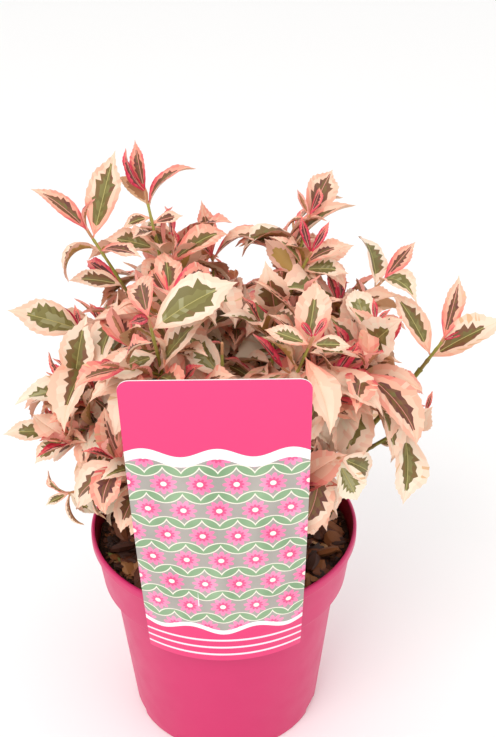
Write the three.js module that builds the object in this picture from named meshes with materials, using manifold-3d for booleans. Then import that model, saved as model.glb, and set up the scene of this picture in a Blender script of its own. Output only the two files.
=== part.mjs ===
// A young variegated hydrangea in its nursery pot, with a picture label hooked over the rim.
// Millimetres, +Z up. The origin is the middle of the pot's flat underside, and the label
// hangs on the -Y side. Canes rise from a short base stem in the bark compost, boughs fork
// off the canes, and every bough carries one mass of leafy twigs.
import * as THREE from 'three';
import { mergeVertices } from 'three/addons/utils/BufferGeometryUtils.js';
import Module from 'manifold-3d';

const wasm = await Module();
wasm.setup();

// Pot: a 19 cm moulded pot of three litres.
const POT_HEIGHT = 160.8;
const POT_FOOT_RADIUS = 69.9;
const POT_WAIST_RADIUS = 82;
const POT_WALL = 1.6;
const POT_FLOOR = 3;
const POT_SEGMENTS = 36;
const COLLAR_BOTTOM = 120.5;
const COLLAR_BOTTOM_RADIUS = 88.7;
const BEAD_BOTTOM = 153.5;
const BEAD_BOTTOM_RADIUS = 92.6;
const BEAD_RADIUS = 95;
const BEAD_INNER_RADIUS = 92.3;
const FOOT_BEVEL = 1.5;
const NOTCH_COUNT = 8;
const NOTCH_WIDTH = 14;
const NOTCH_HEIGHT = 6;
const NOTCH_DEPTH = 1.1;

// Bark compost, and the short stem that stands in it.
const SOIL_LEVEL = 148;
const SOIL_GAP = 0.5;
const SOIL_RINGS = 4;
const SOIL_ROUGHNESS = 3.2;
const SOIL_DISH = 3;
const STEM_SOCKET_DEPTH = 15;
const STEM_HEIGHT = 13;
const STEM_TOP_RADIUS = 12.5;
const STEM_FLARE_RADIUS = 16;
const STEM_SIDES = 12;

// Canes and boughs.
const INNER_RING = 3.7;
const OUTER_RING = 9.9;
const CANE_ROOT_RADIUS = 2.2;
const BOUGH_ROOT_RADIUS = 1.9;
const BOUGH_TIP_RADIUS = 1.5;
const BOUGH_SIDES = 5;
const BOUGH_STATIONS = 5;
const JOINT_GAP = 0.3;

// Twigs and leaves.
const TWIG_SIDES = 3;
const TWIG_ROOT_RADIUS = 1.35;
const TWIG_TIP_RADIUS = 0.8;
const LEAF_WIDTH_SHARE = 0.46;
const LEAF_THICKNESS_SHARE = 0.03;
const PAIR_STEPS = [3, 9, 19, 34, 52, 72, 94];
const PAIR_SIZES = [0.58, 0.84, 1.06, 1.14, 1.1, 1.05, 1];
const PAIR_ANGLES = [13, 44, 60, 68, 74, 78, 80];
const SIDE_TWIG_CHANCE = 0.46;
const SIDE_TWIG_SHIFT = 5;
const BARE_FOOT = 7;
const SPACE_MARGIN = 0.7;
const LEAF_MARGIN = 2;
const LEAF_GROWTH = 1.1;
const LIMB_MARGIN = 2.4;
const LEAF_SEED = 1907;
const LEAF_ROLL_PLAY = [-14, 14];
const LEAF_TILT_PLAY = [-9, 9];
const LEAF_SIZE_PLAY = [0.86, 1.1];
const LEAF_SAG = [0.05, 0.5];
const LEAF_CURL = [0.35, 1.15];
const LEAF_FOLD = [0.15, 0.5];
const LEAF_SLIMNESS = [0.9, 1.1];
const LEAF_FACE_LEAN = 0.15;
const BUD_SAGS = [-0.5, -0.2];
const BUD_CURL = [-0.1, 0.25];
const BUD_FOLD = [0.5, 0.8];
const BUD_SLIMNESS = 0.66;
const SIDE_TWIG_FIRST_PAIR = 3;
const SIDE_TWIG_REACH = [24, 40];
const SIDE_TWIG_SPREAD = [38, 58];
const SIDE_TWIG_SHARE = 0.84;
const SIDE_TWIG_SLIMNESS = 0.8;
const SIDE_TWIG_RISE = 0.22;
const SIDE_TWIG_CLEAR_FROM = 5;
const SIDE_TWIG_TESTS = 6;
const SIDE_TWIG_MARGIN = 2.35;
const LEAST_CURL = 0.01;

// How far leaves and twigs keep from the compost, the rim, and the card with its tongue.
const SOIL_CLEARANCE = 4;
const RIM_CLEARANCE = 3;
const RIM_INNER_CLEARANCE = 5;
const CARD_CLEARANCE = 3;
const CARD_SIDE_CLEARANCE = 4;
const TONGUE_ROOM_HEIGHT = 30;
const TONGUE_ROOM_DEPTH = 16;

// Label: one flexible card with a tongue folded over the rim.
const CARD_WIDTH = 107.5;
const CARD_HEIGHT = 239;
const CARD_THICKNESS = 0.8;
const CARD_FOOT = 111;
const CARD_LEAN = 7;
const CARD_TURN = 0.5;
const CARD_CENTRE_X = 1.4;
const CARD_CORNER = 7;
const CARD_WRAP_RADIUS = 96;
const CARD_COLUMNS = 12;
const CARD_ROWS = 5;
const CARD_GAP = 0.4;
const TONGUE_WIDTH = 30;
const TONGUE_THICKNESS = 0.9;
const TONGUE_HEIGHT = 24;
const TONGUE_SET_BACK = 4.7;
const TONGUE_END = 4.5;

const UP = new THREE.Vector3(0, 0, 1);
const FULL_TURN = 2 * Math.PI;
const radians = THREE.MathUtils.degToRad;

// Each shoot: its name; where it springs from, which is a foot on the base stem (azimuth in
// degrees from +X, and ring) or another bough and how far along it; where its growing tip stands
// (azimuth, reach from the pot's axis, height over the compost); the length that is leafy, the
// length of a full leaf, and the roll of its first pair of leaves.
const SHOOTS = [
  ['top_left', 165, INNER_RING, 152, 53, 253, 88, 50, 80],
  ['top_middle', 75, INNER_RING, 96, 60, 192, 92, 46, 20],
  ['top_right', -20, INNER_RING, 26, 64, 235, 96, 50, 75],
  ['far_right', -20, OUTER_RING, -5, 144, 166, 27, 58, 0],
  ['mid_left', 184, OUTER_RING, -174, 90, 174, 84, 55, 0],
  ['front_middle', 271, OUTER_RING, -88, 92, 208, 92, 44, 45],
  ['front_right', 312, OUTER_RING, -59, 106, 211, 90, 46, 60],
  ['rear_middle', 92, OUTER_RING, 88, 112, 138, 92, 50, 10],
  ['side_rear_left', 138, OUTER_RING, 144, 106, 138, 92, 52, 35],
  ['side_rear_right', 45, OUTER_RING, 34, 118, 130, 90, 50, 70],
  ['low_front_left', 228, OUTER_RING, -128, 104, 122, 88, 46, 25],
  ['upper_left', 'top_left', 0.62, 172, 84, 232, 88, 54, 0],
  ['upper_right', 'top_right', 0.6, 5, 106, 198, 92, 56, 30],
  ['middle_right', 'front_right', 0.8, -52, 56, 201, 86, 46, 85],
  ['side_right', 'far_right', 0.34, -28, 107, 199, 92, 50, 50],
  ['low_right', 'far_right', 0.42, -17, 137, 128, 56, 50, 10],
  ['low_front_right', 'front_right', 0.42, -48, 110, 122, 82, 46, 40],
  ['front_left', 'low_front_left', 0.6, -112, 100, 225, 92, 48, 55],
  ['low_left', 'mid_left', 0.66, -165, 98, 139, 80, 52, 15],
  ['bottom_left', 'mid_left', 0.4, -158, 110, 66, 72, 50, 60],
  ['rear_right', 'rear_middle', 0.6, 58, 100, 154, 88, 50, 65],
  ['rear_left', 'side_rear_left', 0.6, 119, 104, 162, 88, 52, 80],
  ['low_rear_right', 'side_rear_right', 0.45, 62, 132, 92, 84, 50, 30],
  ['low_rear_middle', 'rear_middle', 0.4, 98, 134, 84, 84, 50, 5],
  ['low_rear_left', 'side_rear_left', 0.42, 140, 130, 78, 84, 52, 50],
].map(([name, root, place, azimuth, reach, height, leafy, leaf, roll]) => (
  { name, root, place, azimuth, reach, height, leafy, leaf, roll }));

// Second leaders that fork off a mass's own stem, and how far along it.
const FORKS = [
  ['top_left', 0.3, 122, 62, 206, 30],
  ['top_middle', 0.25, 25, 34, 192, 60],
  ['top_right', 0.35, -10, 58, 226, 85],
  ['upper_right', 0.2, 30, 96, 164, 20],
  ['low_left', 0.2, -172, 118, 98, 70],
  ['front_left', 0.2, -129, 47, 210, 10],
].map(([within, at, azimuth, reach, height, roll]) => ({ within, at, azimuth, reach, height, roll }));

// How far a shoot bows upwards, as a share of its span: a few sag first and then turn up.
const BOW = 0.1;
const BOWS = { far_right: -0.34, low_left: -0.25, low_right: -0.1 };

// The leaves that show most, each set on its leader by hand. Each has its mass, which of the
// mass's leaders bears it and how far from the tip, the way its own tip points and the way it
// faces (azimuth and rise of each), its length, its curl and its age, from 0 in the bud.
const LEADING_LEAVES = [
  ['top_left', 0, 1, 115, 70, 33, 240, 10, 0.3, 1],
  ['top_left', 0, 1, 150, 60, 31, 230, 10, 0.9, 0],
  ['top_left', 0, 10, 165, 40, 29, 100, 20, 1.5, 2],
  ['top_left', 0, 10, 20, 35, 42, 200, 45, 1.3, 1],
  ['top_left', 0, 18, -165, -15, 20, -100, 60, 0.9, 3],
  ['top_left', 0, 30, -110, 20, 36, -100, 60, 0.5, 2],
  ['top_left', 0, 22, 10, 10, 21, -80, 50, 0.8, 2],
  ['upper_left', 0, 1, 175, 40, 45, -80, 70, 0.6, 1],
  ['upper_left', 0, 1, 60, 65, 23, 180, 30, 1.3, 0],
  ['upper_left', 0, 7, 50, 65, 57, -100, 25, 0.1, 2],
  ['upper_left', 0, 16, -150, -35, 39, 175, 40, 2.6, 4],
  ['upper_left', 0, 16, -40, 10, 38, -80, 60, 0.7, 1],
  ['top_left', 0, 40, -180, 15, 36, -90, 60, 0.5, 4],
  ['upper_left', 0, 42, 135, 5, 40, -90, 50, 0.4, 0],
  ['upper_left', 0, 44, -175, 10, 36, -100, 70, 0.5, 3],
  ['top_middle', 0, 1, 115, 65, 39, -75, 20, 0.05, 1],
  ['top_middle', 0, 3, 10, 20, 52, 180, 70, 1.3, 1],
  ['top_middle', 0, 3, 170, 30, 37, 0, 70, 1.2, 2],
  ['top_right', 0, 1, 140, 55, 19, 90, 0, 0.5, 0],
  ['top_right', 0, 1, 70, 25, 27, -60, 20, 0.4, 0],
  ['top_right', 0, 5, 70, 20, 54, -80, 30, 0.05, 2],
  ['top_right', 0, 5, -175, -15, 16, 180, 60, 1.9, 2],
  ['top_right', 0, 20, -175, -10, 48, 170, 70, 1.9, 4],
  ['top_right', 1, 1, 125, 60, 24, -100, 20, 0.3, 0],
  ['top_right', 1, 1, 30, 55, 23, -80, 30, 0.5, 0],
  ['top_right', 1, 14, 5, 25, 30, -90, 55, 1, 2],
  ['top_right', 1, 22, -5, 0, 31, -80, 60, 0.8, 3],
  ['top_right', 1, 30, 155, 45, 34, 90, -10, 0.6, 3],
  ['top_right', 1, 20, 160, 40, 31, 160, 60, 1.1, 2],
  ['middle_right', 0, 1, -105, 65, 48, -90, 30, 0.2, 3],
  ['middle_right', 0, 2, -145, 45, 18, -90, 40, 0.2, 0],
  ['upper_right', 0, 8, 100, 25, 48, -60, 5, 0.7, 4],
  ['upper_right', 0, 1, 40, 35, 34, -90, 30, 0.2, 1],
  ['upper_right', 0, 4, -55, 0, 40, -60, 40, 1.9, 3],
  ['far_right', 0, 1, 55, 65, 43, -90, 10, 0.2, 1],
  ['far_right', 0, 1, 0, 25, 15, -90, 30, 0.3, 0],
  ['far_right', 0, 17, 0, 30, 58, -90, 55, 0.8, 2],
  ['far_right', 0, 15, 140, 50, 50, -60, 45, 0.3, 2],
  ['side_right', 0, 1, 100, 60, 15, -90, 20, 0.2, 0],
  ['side_right', 0, 1, 20, 40, 12, -90, 50, 0.3, 0],
  ['side_right', 0, 12, 5, 25, 23, -90, 60, 0.6, 3],
  ['side_right', 0, 12, 105, 25, 38, -90, 45, 0.4, 4],
  ['side_right', 0, 30, -60, 50, 54, -90, 40, 0.3, 5],
  ['low_right', 0, 1, 60, 55, 15, -90, 20, 0.2, 0],
  ['low_right', 0, 20, -65, 50, 40, -90, 30, 0.3, 6],
  ['low_right', 0, 22, -95, -55, 52, -60, 35, 1.1, 6],
  ['low_right', 0, 45, -10, 0, 11, -90, 60, 0.4, 4],
  ['low_front_right', 0, 1, 40, -40, 40, -80, 40, 0.5, 5],
  ['low_front_right', 0, 4, 5, -65, 38, -80, 30, 0.3, 6],
  ['mid_left', 0, 3, -165, 25, 50, -90, 50, 0.4, 4],
  ['mid_left', 0, 1, 120, 60, 16, -90, 10, 0.2, 0],
  ['mid_left', 0, 1, 165, 40, 25, -90, 60, 0.3, 0],
  ['low_left', 0, 1, -35, 75, 60, -100, 20, 0.3, 2],
  ['low_left', 0, 2, 155, 50, 30, 190, 30, 0.6, 0],
  ['low_left', 0, 10, -165, 0, 47, -90, 80, 1.2, 4],
  ['low_left', 1, 8, -170, 5, 37, -90, 60, 0.4, 3],
  ['low_left', 1, 2, 105, 60, 19, -60, 30, 0.6, 0],
  ['low_left', 1, 16, -145, -30, 33, -90, 60, 0.5, 4],
  ['low_left', 0, 30, -75, -5, 50, -90, 20, 0.4, 6],
  ['bottom_left', 0, 1, 155, 40, 23, 200, 20, 1.5, 1],
  ['bottom_left', 0, 1, -55, -50, 26, 190, 20, 1.3, 2],
  ['bottom_left', 0, 1, -155, -15, 18, -90, 60, 0.4, 2],
  ['bottom_left', 0, 1, -25, -35, 22, -80, 60, 0.5, 6],
  ['bottom_left', 0, 34, -100, 35, 44, -90, 50, 0.5, 5],
  ['front_left', 0, 1, 100, 10, 44, -100, 30, 0.2, 2],
  ['front_left', 0, 1, -110, 20, 26, -90, 30, 0.2, 0],
  ['front_left', 0, 12, 15, 25, 58, -100, 50, 0.9, 4],
  ['front_left', 0, 34, -165, -15, 33, -90, 40, 0.8, 6],
  ['front_left', 1, 1, 115, 10, 34, -90, 40, 0.4, 1],
  ['front_left', 1, 1, 95, 15, 44, -80, 20, 0.2, 2],
  ['front_left', 1, 1, 55, 5, 44, -70, 60, 0.6, 1],
  ['front_middle', 0, 34, 150, 45, 36, -100, 30, 0.2, 6],
  ['front_right', 0, 1, 110, 5, 18, -90, 30, 0.2, 0],
  ['front_right', 0, 1, 60, 20, 18, -90, 30, 0.2, 0],
  ['front_right', 0, 8, 170, 15, 28, -90, 55, 0.5, 3],
  ['front_right', 0, 8, -5, 0, 24, -90, 55, 0.6, 3],
].map(([within, line, step, azimuth, rise, length, faceAzimuth, faceRise, curl, age]) => (
  { within, line, step, azimuth, rise, length, faceAzimuth, faceRise, curl, age }));
const LEADING_WIDTHS = [0.6, 0.75, 0.88, 0.98, 1.08, 1.1, 1.15];
const LEADING_FOLD = 0.35;
const LEADING_BUD_FOLD = 0.55;
const LEADING_SPACING = 8;

// Where the crown is open: round slots that fan out from a point high in front of the plant. Each
// has its place across, its height and its radius over the pot's middle.
const SLOT_FAN = new THREE.Vector3(18, -648, 665);
const OPEN_SLOTS = [
  [-87, 427, 13],
  [-56, 401, 9],
  [-21, 410, 9],
  [27, 406, 21],
  [22, 361, 11],
  [81, 387, 12],
  [85, 362, 8],
  [134, 362, 15],
  [133, 332, 8],
  [123, 302, 10],
  [166, 277, 19],
  [165, 227, 18],
  [112, 194, 14],
  [-98, 342, 6],
  [-78, 339, 6],
  [-133, 289, 12],
  [-117, 378, 14],
  [-124, 354, 13],
  [-144, 200, 14],
  [-84, 132, 14],
  [81, 133, 13],
  [-124, 137, 16],
  [-19, 397, 8],
  [129, 285, 6],
  [-114, 200, 10],
  [138, 279, 7],
  [7, 367, 6],
];

// ---- solids and meshes

// A closed geometry as a solid that can be joined and cut.
function solidOf(geometry) {
  const bare = geometry.clone();
  bare.deleteAttribute('normal');
  bare.deleteAttribute('uv');
  const merged = mergeVertices(bare, 1e-4);
  const corners = merged.index.array;
  const kept = [];
  for (let i = 0; i < corners.length; i += 3) {
    const [a, b, c] = [corners[i], corners[i + 1], corners[i + 2]];
    if (a !== b && b !== c && c !== a) kept.push(a, b, c);
  }
  return new wasm.Manifold(new wasm.Mesh({
    numProp: 3,
    vertProperties: new Float32Array(merged.attributes.position.array),
    triVerts: new Uint32Array(kept),
  }));
}

// The outer shell of a joined solid: a hollow that joining sealed is filled and loose scraps drop.
function outerShell(solid) {
  const { vertProperties: places, triVerts: corners } = solid.getMesh();
  const leader = Array.from({ length: places.length / 3 }, (_, i) => i);
  const find = (i) => {
    while (leader[i] !== i) {
      leader[i] = leader[leader[i]];
      i = leader[i];
    }
    return i;
  };
  for (let i = 0; i < corners.length; i += 3) {
    leader[find(corners[i])] = find(corners[i + 1]);
    leader[find(corners[i + 1])] = find(corners[i + 2]);
  }
  const volumes = new Map();
  const corner = (i) => new THREE.Vector3().fromArray(places, 3 * corners[i]);
  for (let i = 0; i < corners.length; i += 3) {
    const shell = find(corners[i]);
    const part = corner(i).dot(corner(i + 1).cross(corner(i + 2))) / 6;
    volumes.set(shell, (volumes.get(shell) ?? 0) + part);
  }
  const largest = [...volumes].sort((a, b) => b[1] - a[1])[0][0];
  const kept = [];
  for (let i = 0; i < corners.length; i += 3) {
    if (find(corners[i]) === largest) kept.push(corners[i], corners[i + 1], corners[i + 2]);
  }
  const geometry = new THREE.BufferGeometry();
  geometry.setAttribute('position', new THREE.Float32BufferAttribute(places, 3));
  geometry.setIndex(kept);
  return geometry;
}

function addNode(group, name, solid, material) {
  const mesh = new THREE.Mesh(outerShell(solid), material);
  mesh.name = name;
  group.add(mesh);
}

// A limb along a path of points, tapering from its root radius to its tip radius.
function limbGeometry(points, rootRadius, tipRadius, sides) {
  const last = points.length - 1;
  const geometry = new THREE.CylinderGeometry(1, 1, 1, sides, last);
  const frames = [];
  let side = new THREE.Vector3(1, 0.3, 0.1);
  for (let i = 0; i <= last; i += 1) {
    const before = points[Math.max(i - 1, 0)];
    const after = points[Math.min(i + 1, last)];
    const tangent = after.clone().sub(before).normalize();
    side = side.clone().addScaledVector(tangent, -side.dot(tangent)).normalize();
    frames.push({ side, front: side.clone().cross(tangent) });
  }
  const place = geometry.attributes.position;
  for (let i = 0; i < place.count; i += 1) {
    const share = place.getY(i) + 0.5;
    const station = Math.round(share * last);
    const radius = THREE.MathUtils.lerp(rootRadius, tipRadius, share);
    const spot = points[station].clone();
    spot.addScaledVector(frames[station].side, radius * place.getX(i));
    spot.addScaledVector(frames[station].front, radius * place.getZ(i));
    place.setXYZ(i, spot.x, spot.y, spot.z);
  }
  return geometry;
}

// ---- pot, compost, base stem and label

const share = (z, z0, r0, z1, r1) => r0 + ((z - z0) / (z1 - z0)) * (r1 - r0);

function potWallRadius(z) {
  if (z < COLLAR_BOTTOM) return share(z, 0, POT_FOOT_RADIUS, COLLAR_BOTTOM, POT_WAIST_RADIUS);
  return share(z, COLLAR_BOTTOM, COLLAR_BOTTOM_RADIUS, BEAD_BOTTOM, BEAD_BOTTOM_RADIUS);
}

function potSolid() {
  const waist = COLLAR_BOTTOM - 0.5;
  const inner = (z) => potWallRadius(z) - POT_WALL;
  const profile = [
    [0, 0],
    [POT_FOOT_RADIUS - FOOT_BEVEL, 0],
    [potWallRadius(FOOT_BEVEL), FOOT_BEVEL],
    [potWallRadius(waist) - 1, waist - 4],
    [COLLAR_BOTTOM_RADIUS - 1, COLLAR_BOTTOM],
    [COLLAR_BOTTOM_RADIUS, COLLAR_BOTTOM + 1],
    [BEAD_BOTTOM_RADIUS, BEAD_BOTTOM],
    [BEAD_RADIUS - 0.4, BEAD_BOTTOM + 1.2],
    [BEAD_RADIUS, POT_HEIGHT - 2.6],
    [BEAD_RADIUS - 0.9, POT_HEIGHT - 0.4],
    [BEAD_RADIUS - 1.5, POT_HEIGHT],
    [BEAD_INNER_RADIUS, POT_HEIGHT - 0.6],
    [inner(BEAD_BOTTOM), BEAD_BOTTOM - 2],
    [inner(COLLAR_BOTTOM + 3), COLLAR_BOTTOM + 3],
    [inner(waist), waist - 2],
    [inner(POT_FLOOR), POT_FLOOR],
    [0, POT_FLOOR],
  ];
  const shell = new THREE.LatheGeometry(profile.map(([r, z]) => new THREE.Vector2(r, z)), POT_SEGMENTS);
  shell.rotateX(Math.PI / 2);
  let pot = solidOf(shell);
  for (let i = 0; i < NOTCH_COUNT; i += 1) {
    const notch = new THREE.BoxGeometry(2 * NOTCH_DEPTH + 4, NOTCH_WIDTH, 2 * NOTCH_HEIGHT);
    notch.translate(POT_FOOT_RADIUS + 2, 0, 0);
    notch.rotateZ(((i + 0.5) / NOTCH_COUNT) * FULL_TURN);
    pot = pot.subtract(solidOf(notch));
  }
  return pot;
}

// Seeded draws, from 0 to 1.
function makeDice(seed) {
  let state = seed;
  return () => {
    state = (state * 16807) % 2147483647;
    return state / 2147483647;
  };
}

function stemSolid(extra) {
  const profile = [
    [0, SOIL_LEVEL - STEM_SOCKET_DEPTH],
    [STEM_TOP_RADIUS + extra, SOIL_LEVEL - STEM_SOCKET_DEPTH],
    [STEM_FLARE_RADIUS + extra, SOIL_LEVEL - 3],
    [STEM_TOP_RADIUS + extra, SOIL_LEVEL + 7],
    [STEM_TOP_RADIUS - 1.5 + extra, SOIL_LEVEL + STEM_HEIGHT + extra],
    [0, SOIL_LEVEL + STEM_HEIGHT + extra],
  ];
  const geometry = new THREE.LatheGeometry(profile.map(([r, z]) => new THREE.Vector2(r, z)), STEM_SIDES);
  geometry.rotateX(Math.PI / 2);
  return solidOf(geometry);
}

function soilSolid() {
  const inner = (z) => potWallRadius(z) - POT_WALL - SOIL_GAP;
  const rim = inner(SOIL_LEVEL);
  const profile = [
    [0, POT_FLOOR + SOIL_GAP],
    [inner(POT_FLOOR) - SOIL_GAP, POT_FLOOR + SOIL_GAP],
    [inner(COLLAR_BOTTOM - 2), COLLAR_BOTTOM - 1.5],
    [inner(COLLAR_BOTTOM + 3), COLLAR_BOTTOM + 4],
  ];
  for (let ring = 0; ring < SOIL_RINGS; ring += 1) {
    const out = 1 - ring / SOIL_RINGS;
    profile.push([rim * out, SOIL_LEVEL - SOIL_DISH * (1 - out)]);
  }
  profile.push([0, SOIL_LEVEL]);
  const geometry = new THREE.LatheGeometry(profile.map(([r, z]) => new THREE.Vector2(r, z)), POT_SEGMENTS);
  geometry.rotateX(Math.PI / 2);
  const place = geometry.attributes.position;
  for (let i = 0; i < place.count; i += 1) {
    const [x, y, z] = [place.getX(i), place.getY(i), place.getZ(i)];
    const out = Math.hypot(x, y) / rim;
    if (z < SOIL_LEVEL - SOIL_DISH - 1 || out < 0.02) continue;
    const lump = Math.sin(0.19 * x + 1.3) * Math.cos(0.16 * y) + Math.sin(0.31 * y + 0.23 * x);
    place.setZ(i, z + 0.5 * SOIL_ROUGHNESS * lump * (1 - 0.5 * out));
  }
  return solidOf(geometry).subtract(stemSolid(JOINT_GAP));
}

// The middle of the card's back at a height: it rests on the rim's bead and leans outwards.
const cardBack = (z) => -(BEAD_RADIUS + CARD_GAP) - Math.tan(radians(CARD_LEAN)) * (z - POT_HEIGHT + 3);

// How sharply the card bends round the pot at a share of its rise, and how far that takes its
// edges back.
const cardBend = (rise) => Math.max(1 - rise, 0) ** 1.3 / CARD_WRAP_RADIUS + 1e-5;

function cardWrap(across, z) {
  const bend = cardBend((z - CARD_FOOT) / CARD_HEIGHT);
  return (1 - Math.cos(across * bend)) / bend;
}

function labelSolid() {
  const card = new THREE.BoxGeometry(CARD_WIDTH, CARD_THICKNESS, CARD_HEIGHT, CARD_COLUMNS, 1, CARD_ROWS);
  const place = card.attributes.position;
  const half = CARD_WIDTH / 2;
  for (let i = 0; i < place.count; i += 1) {
    const across = place.getX(i);
    const rise = place.getZ(i) / CARD_HEIGHT + 0.5;
    const past = Math.max(Math.abs(across) - (half - CARD_CORNER), 0);
    const cut = CARD_CORNER - Math.sqrt(CARD_CORNER ** 2 - past ** 2);
    const up = rise * (CARD_HEIGHT - cut);
    const bend = cardBend(rise);
    const offset = place.getY(i) - CARD_THICKNESS / 2;
    const back = (1 - Math.cos(across * bend)) / bend;
    const flat = new THREE.Vector3(Math.sin(across * bend) / bend, offset + back, up);
    flat.applyAxisAngle(new THREE.Vector3(0, 1, 0), -radians(CARD_TURN));
    flat.applyAxisAngle(new THREE.Vector3(1, 0, 0), radians(CARD_LEAN));
    place.setXYZ(i, flat.x + CARD_CENTRE_X, flat.y + cardBack(CARD_FOOT), flat.z + CARD_FOOT);
  }
  // The tongue, seen from its side: down the card's back, over the rim and down inside the wall.
  const fold = POT_HEIGHT + 0.6;
  const inside = -(BEAD_INNER_RADIUS - TONGUE_SET_BACK);
  const outer = inside + TONGUE_THICKNESS;
  const end = SOIL_LEVEL + TONGUE_END;
  const head = fold + TONGUE_HEIGHT;
  const front = (z) => cardBack(z) - CARD_THICKNESS / 2;
  const tongue = new THREE.Shape();
  tongue.moveTo(front(fold), fold);
  tongue.lineTo(front(head), head);
  tongue.lineTo(front(head) + 1.2, head);
  tongue.lineTo(front(fold + 3) + 1.4, fold + 1.2);
  tongue.lineTo(outer, fold + 1.2);
  tongue.lineTo(outer, end);
  tongue.lineTo(inside, end);
  tongue.lineTo(inside, fold);
  tongue.closePath();
  const strip = new THREE.ExtrudeGeometry(tongue, { depth: TONGUE_WIDTH, bevelEnabled: false });
  strip.translate(0, 0, -TONGUE_WIDTH / 2);
  const [sideways, backwards] = [new THREE.Vector3(1, 0, 0), new THREE.Vector3(0, 1, 0)];
  strip.applyMatrix4(new THREE.Matrix4().makeBasis(backwards, UP, sideways));
  return solidOf(card).add(solidOf(strip));
}

// ---- how the plant grows

const polar = (azimuth, reach, height) => new THREE.Vector3(
  reach * Math.cos(radians(azimuth)),
  reach * Math.sin(radians(azimuth)),
  SOIL_LEVEL + height,
);

const PATH_STEPS = 24;

// A shoot's path: it bows upwards as it leans out to its tip, or sags where its bow is negative.
function shootPath(from, tip, bowing) {
  const turn = from.clone().lerp(tip, 0.5);
  const lean = Math.atan2(tip.z - from.z, Math.hypot(tip.x - from.x, tip.y - from.y));
  const bow = bowing * from.distanceTo(tip) * Math.cos(lean);
  turn.z += bow * Math.cos(lean) + 0.3 * bow;
  const curve = new THREE.QuadraticBezierCurve3(from, turn, tip);
  return curve.getPoints(PATH_STEPS);
}

function pathLength(points) {
  let total = 0;
  for (let i = 1; i < points.length; i += 1) total += points[i].distanceTo(points[i - 1]);
  return total;
}

// The point at a distance along a path, and the way the path runs there.
function alongPath(points, distance) {
  let left = Math.max(distance, 0);
  for (let i = 1; i < points.length; i += 1) {
    const step = points[i].distanceTo(points[i - 1]);
    const way = points[i].clone().sub(points[i - 1]).normalize();
    if (left <= step || i === points.length - 1) {
      return { spot: points[i - 1].clone().addScaledVector(way, Math.min(left, step)), way };
    }
    left -= step;
  }
  return null;
}

function pathPart(points, from, to, count) {
  const part = [];
  for (let i = 0; i < count; i += 1) {
    part.push(alongPath(points, from + ((to - from) * i) / (count - 1)).spot);
  }
  return part;
}

// Boughs: those on the base stem first, then those that fork off another.
const boughs = new Map();
for (const shoot of SHOOTS) {
  const parent = boughs.get(shoot.root);
  const from = parent
    ? alongPath(parent.points, parent.length * shoot.place).spot
    : polar(shoot.root, shoot.place, STEM_HEIGHT - 1);
  const tip = polar(shoot.azimuth, shoot.reach, shoot.height);
  const path = shootPath(from, tip, BOWS[shoot.name] ?? BOW);
  const whole = pathLength(path);
  const length = whole - shoot.leafy;
  const points = pathPart(path, 0, length, BOUGH_STATIONS);
  const rootRadius = parent ? BOUGH_ROOT_RADIUS : CANE_ROOT_RADIUS;
  boughs.set(shoot.name, { points, length, path, whole, rootRadius, parent });
}

// A leaf: its root on the twig, the way it sets out, the way its upper face looks, its length,
// its width, how far it curls back over its length, and how far its two halves fold up.
function leafPoint(leaf, t, across) {
  const turn = leaf.curl * t;
  const reach = leaf.curl < LEAST_CURL ? t : Math.sin(turn) / leaf.curl;
  const drop = leaf.curl < LEAST_CURL ? 0 : (1 - Math.cos(turn)) / leaf.curl;
  const face = leaf.up.clone().multiplyScalar(Math.cos(turn)).addScaledVector(leaf.out, Math.sin(turn));
  const side = leaf.out.clone().cross(leaf.up);
  const spot = leaf.root.clone();
  spot.addScaledVector(leaf.out, reach * leaf.length);
  spot.addScaledVector(leaf.up, -drop * leaf.length);
  spot.addScaledVector(side, across * Math.cos(leaf.fold));
  spot.addScaledVector(face, Math.abs(across) * Math.sin(leaf.fold));
  return { spot, face };
}

// A leaf's outline: shares of its length, and its width there as a share of the widest.
const LEAF_OUTLINE = [[0.16, 0.5], [0.3, 0.92], [0.45, 1], [0.6, 0.84], [0.78, 0.42], [1, 0]];

function leafSpots(leaf) {
  const spots = [];
  for (const [t, width] of LEAF_OUTLINE) {
    for (const across of [-1, -0.5, 0, 0.5, 1]) {
      spots.push(leafPoint(leaf, t, (across * width * leaf.width) / 2).spot);
    }
  }
  return spots;
}

const heading = (azimuth, rise) => new THREE.Vector3(
  Math.cos(radians(azimuth)) * Math.cos(radians(rise)),
  Math.sin(radians(azimuth)) * Math.cos(radians(rise)),
  Math.sin(radians(rise)),
);

// One of the leaves set by hand, on the leader that bears it.
function leadingLeaf({ line, step, azimuth, rise, length, faceAzimuth, faceRise, curl, age }, chains) {
  const chain = chains[line];
  const root = alongPath(chain, pathLength(chain) - step).spot;
  const aim = heading(azimuth, rise);
  const face = heading(faceAzimuth, faceRise);
  face.addScaledVector(aim, -face.dot(aim)).normalize();
  const [ahead, aside] = [Math.cos(curl / 2), Math.sin(curl / 2)];
  const out = aim.clone().multiplyScalar(ahead).addScaledVector(face, aside);
  const up = face.clone().multiplyScalar(ahead).addScaledVector(aim, -aside);
  const width = length * LEAF_WIDTH_SHARE * LEADING_WIDTHS[age];
  const fold = age ? LEADING_FOLD : LEADING_BUD_FOLD;
  return { root, out, up, length, width, curl, fold, line, step, leading: true };
}

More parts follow.
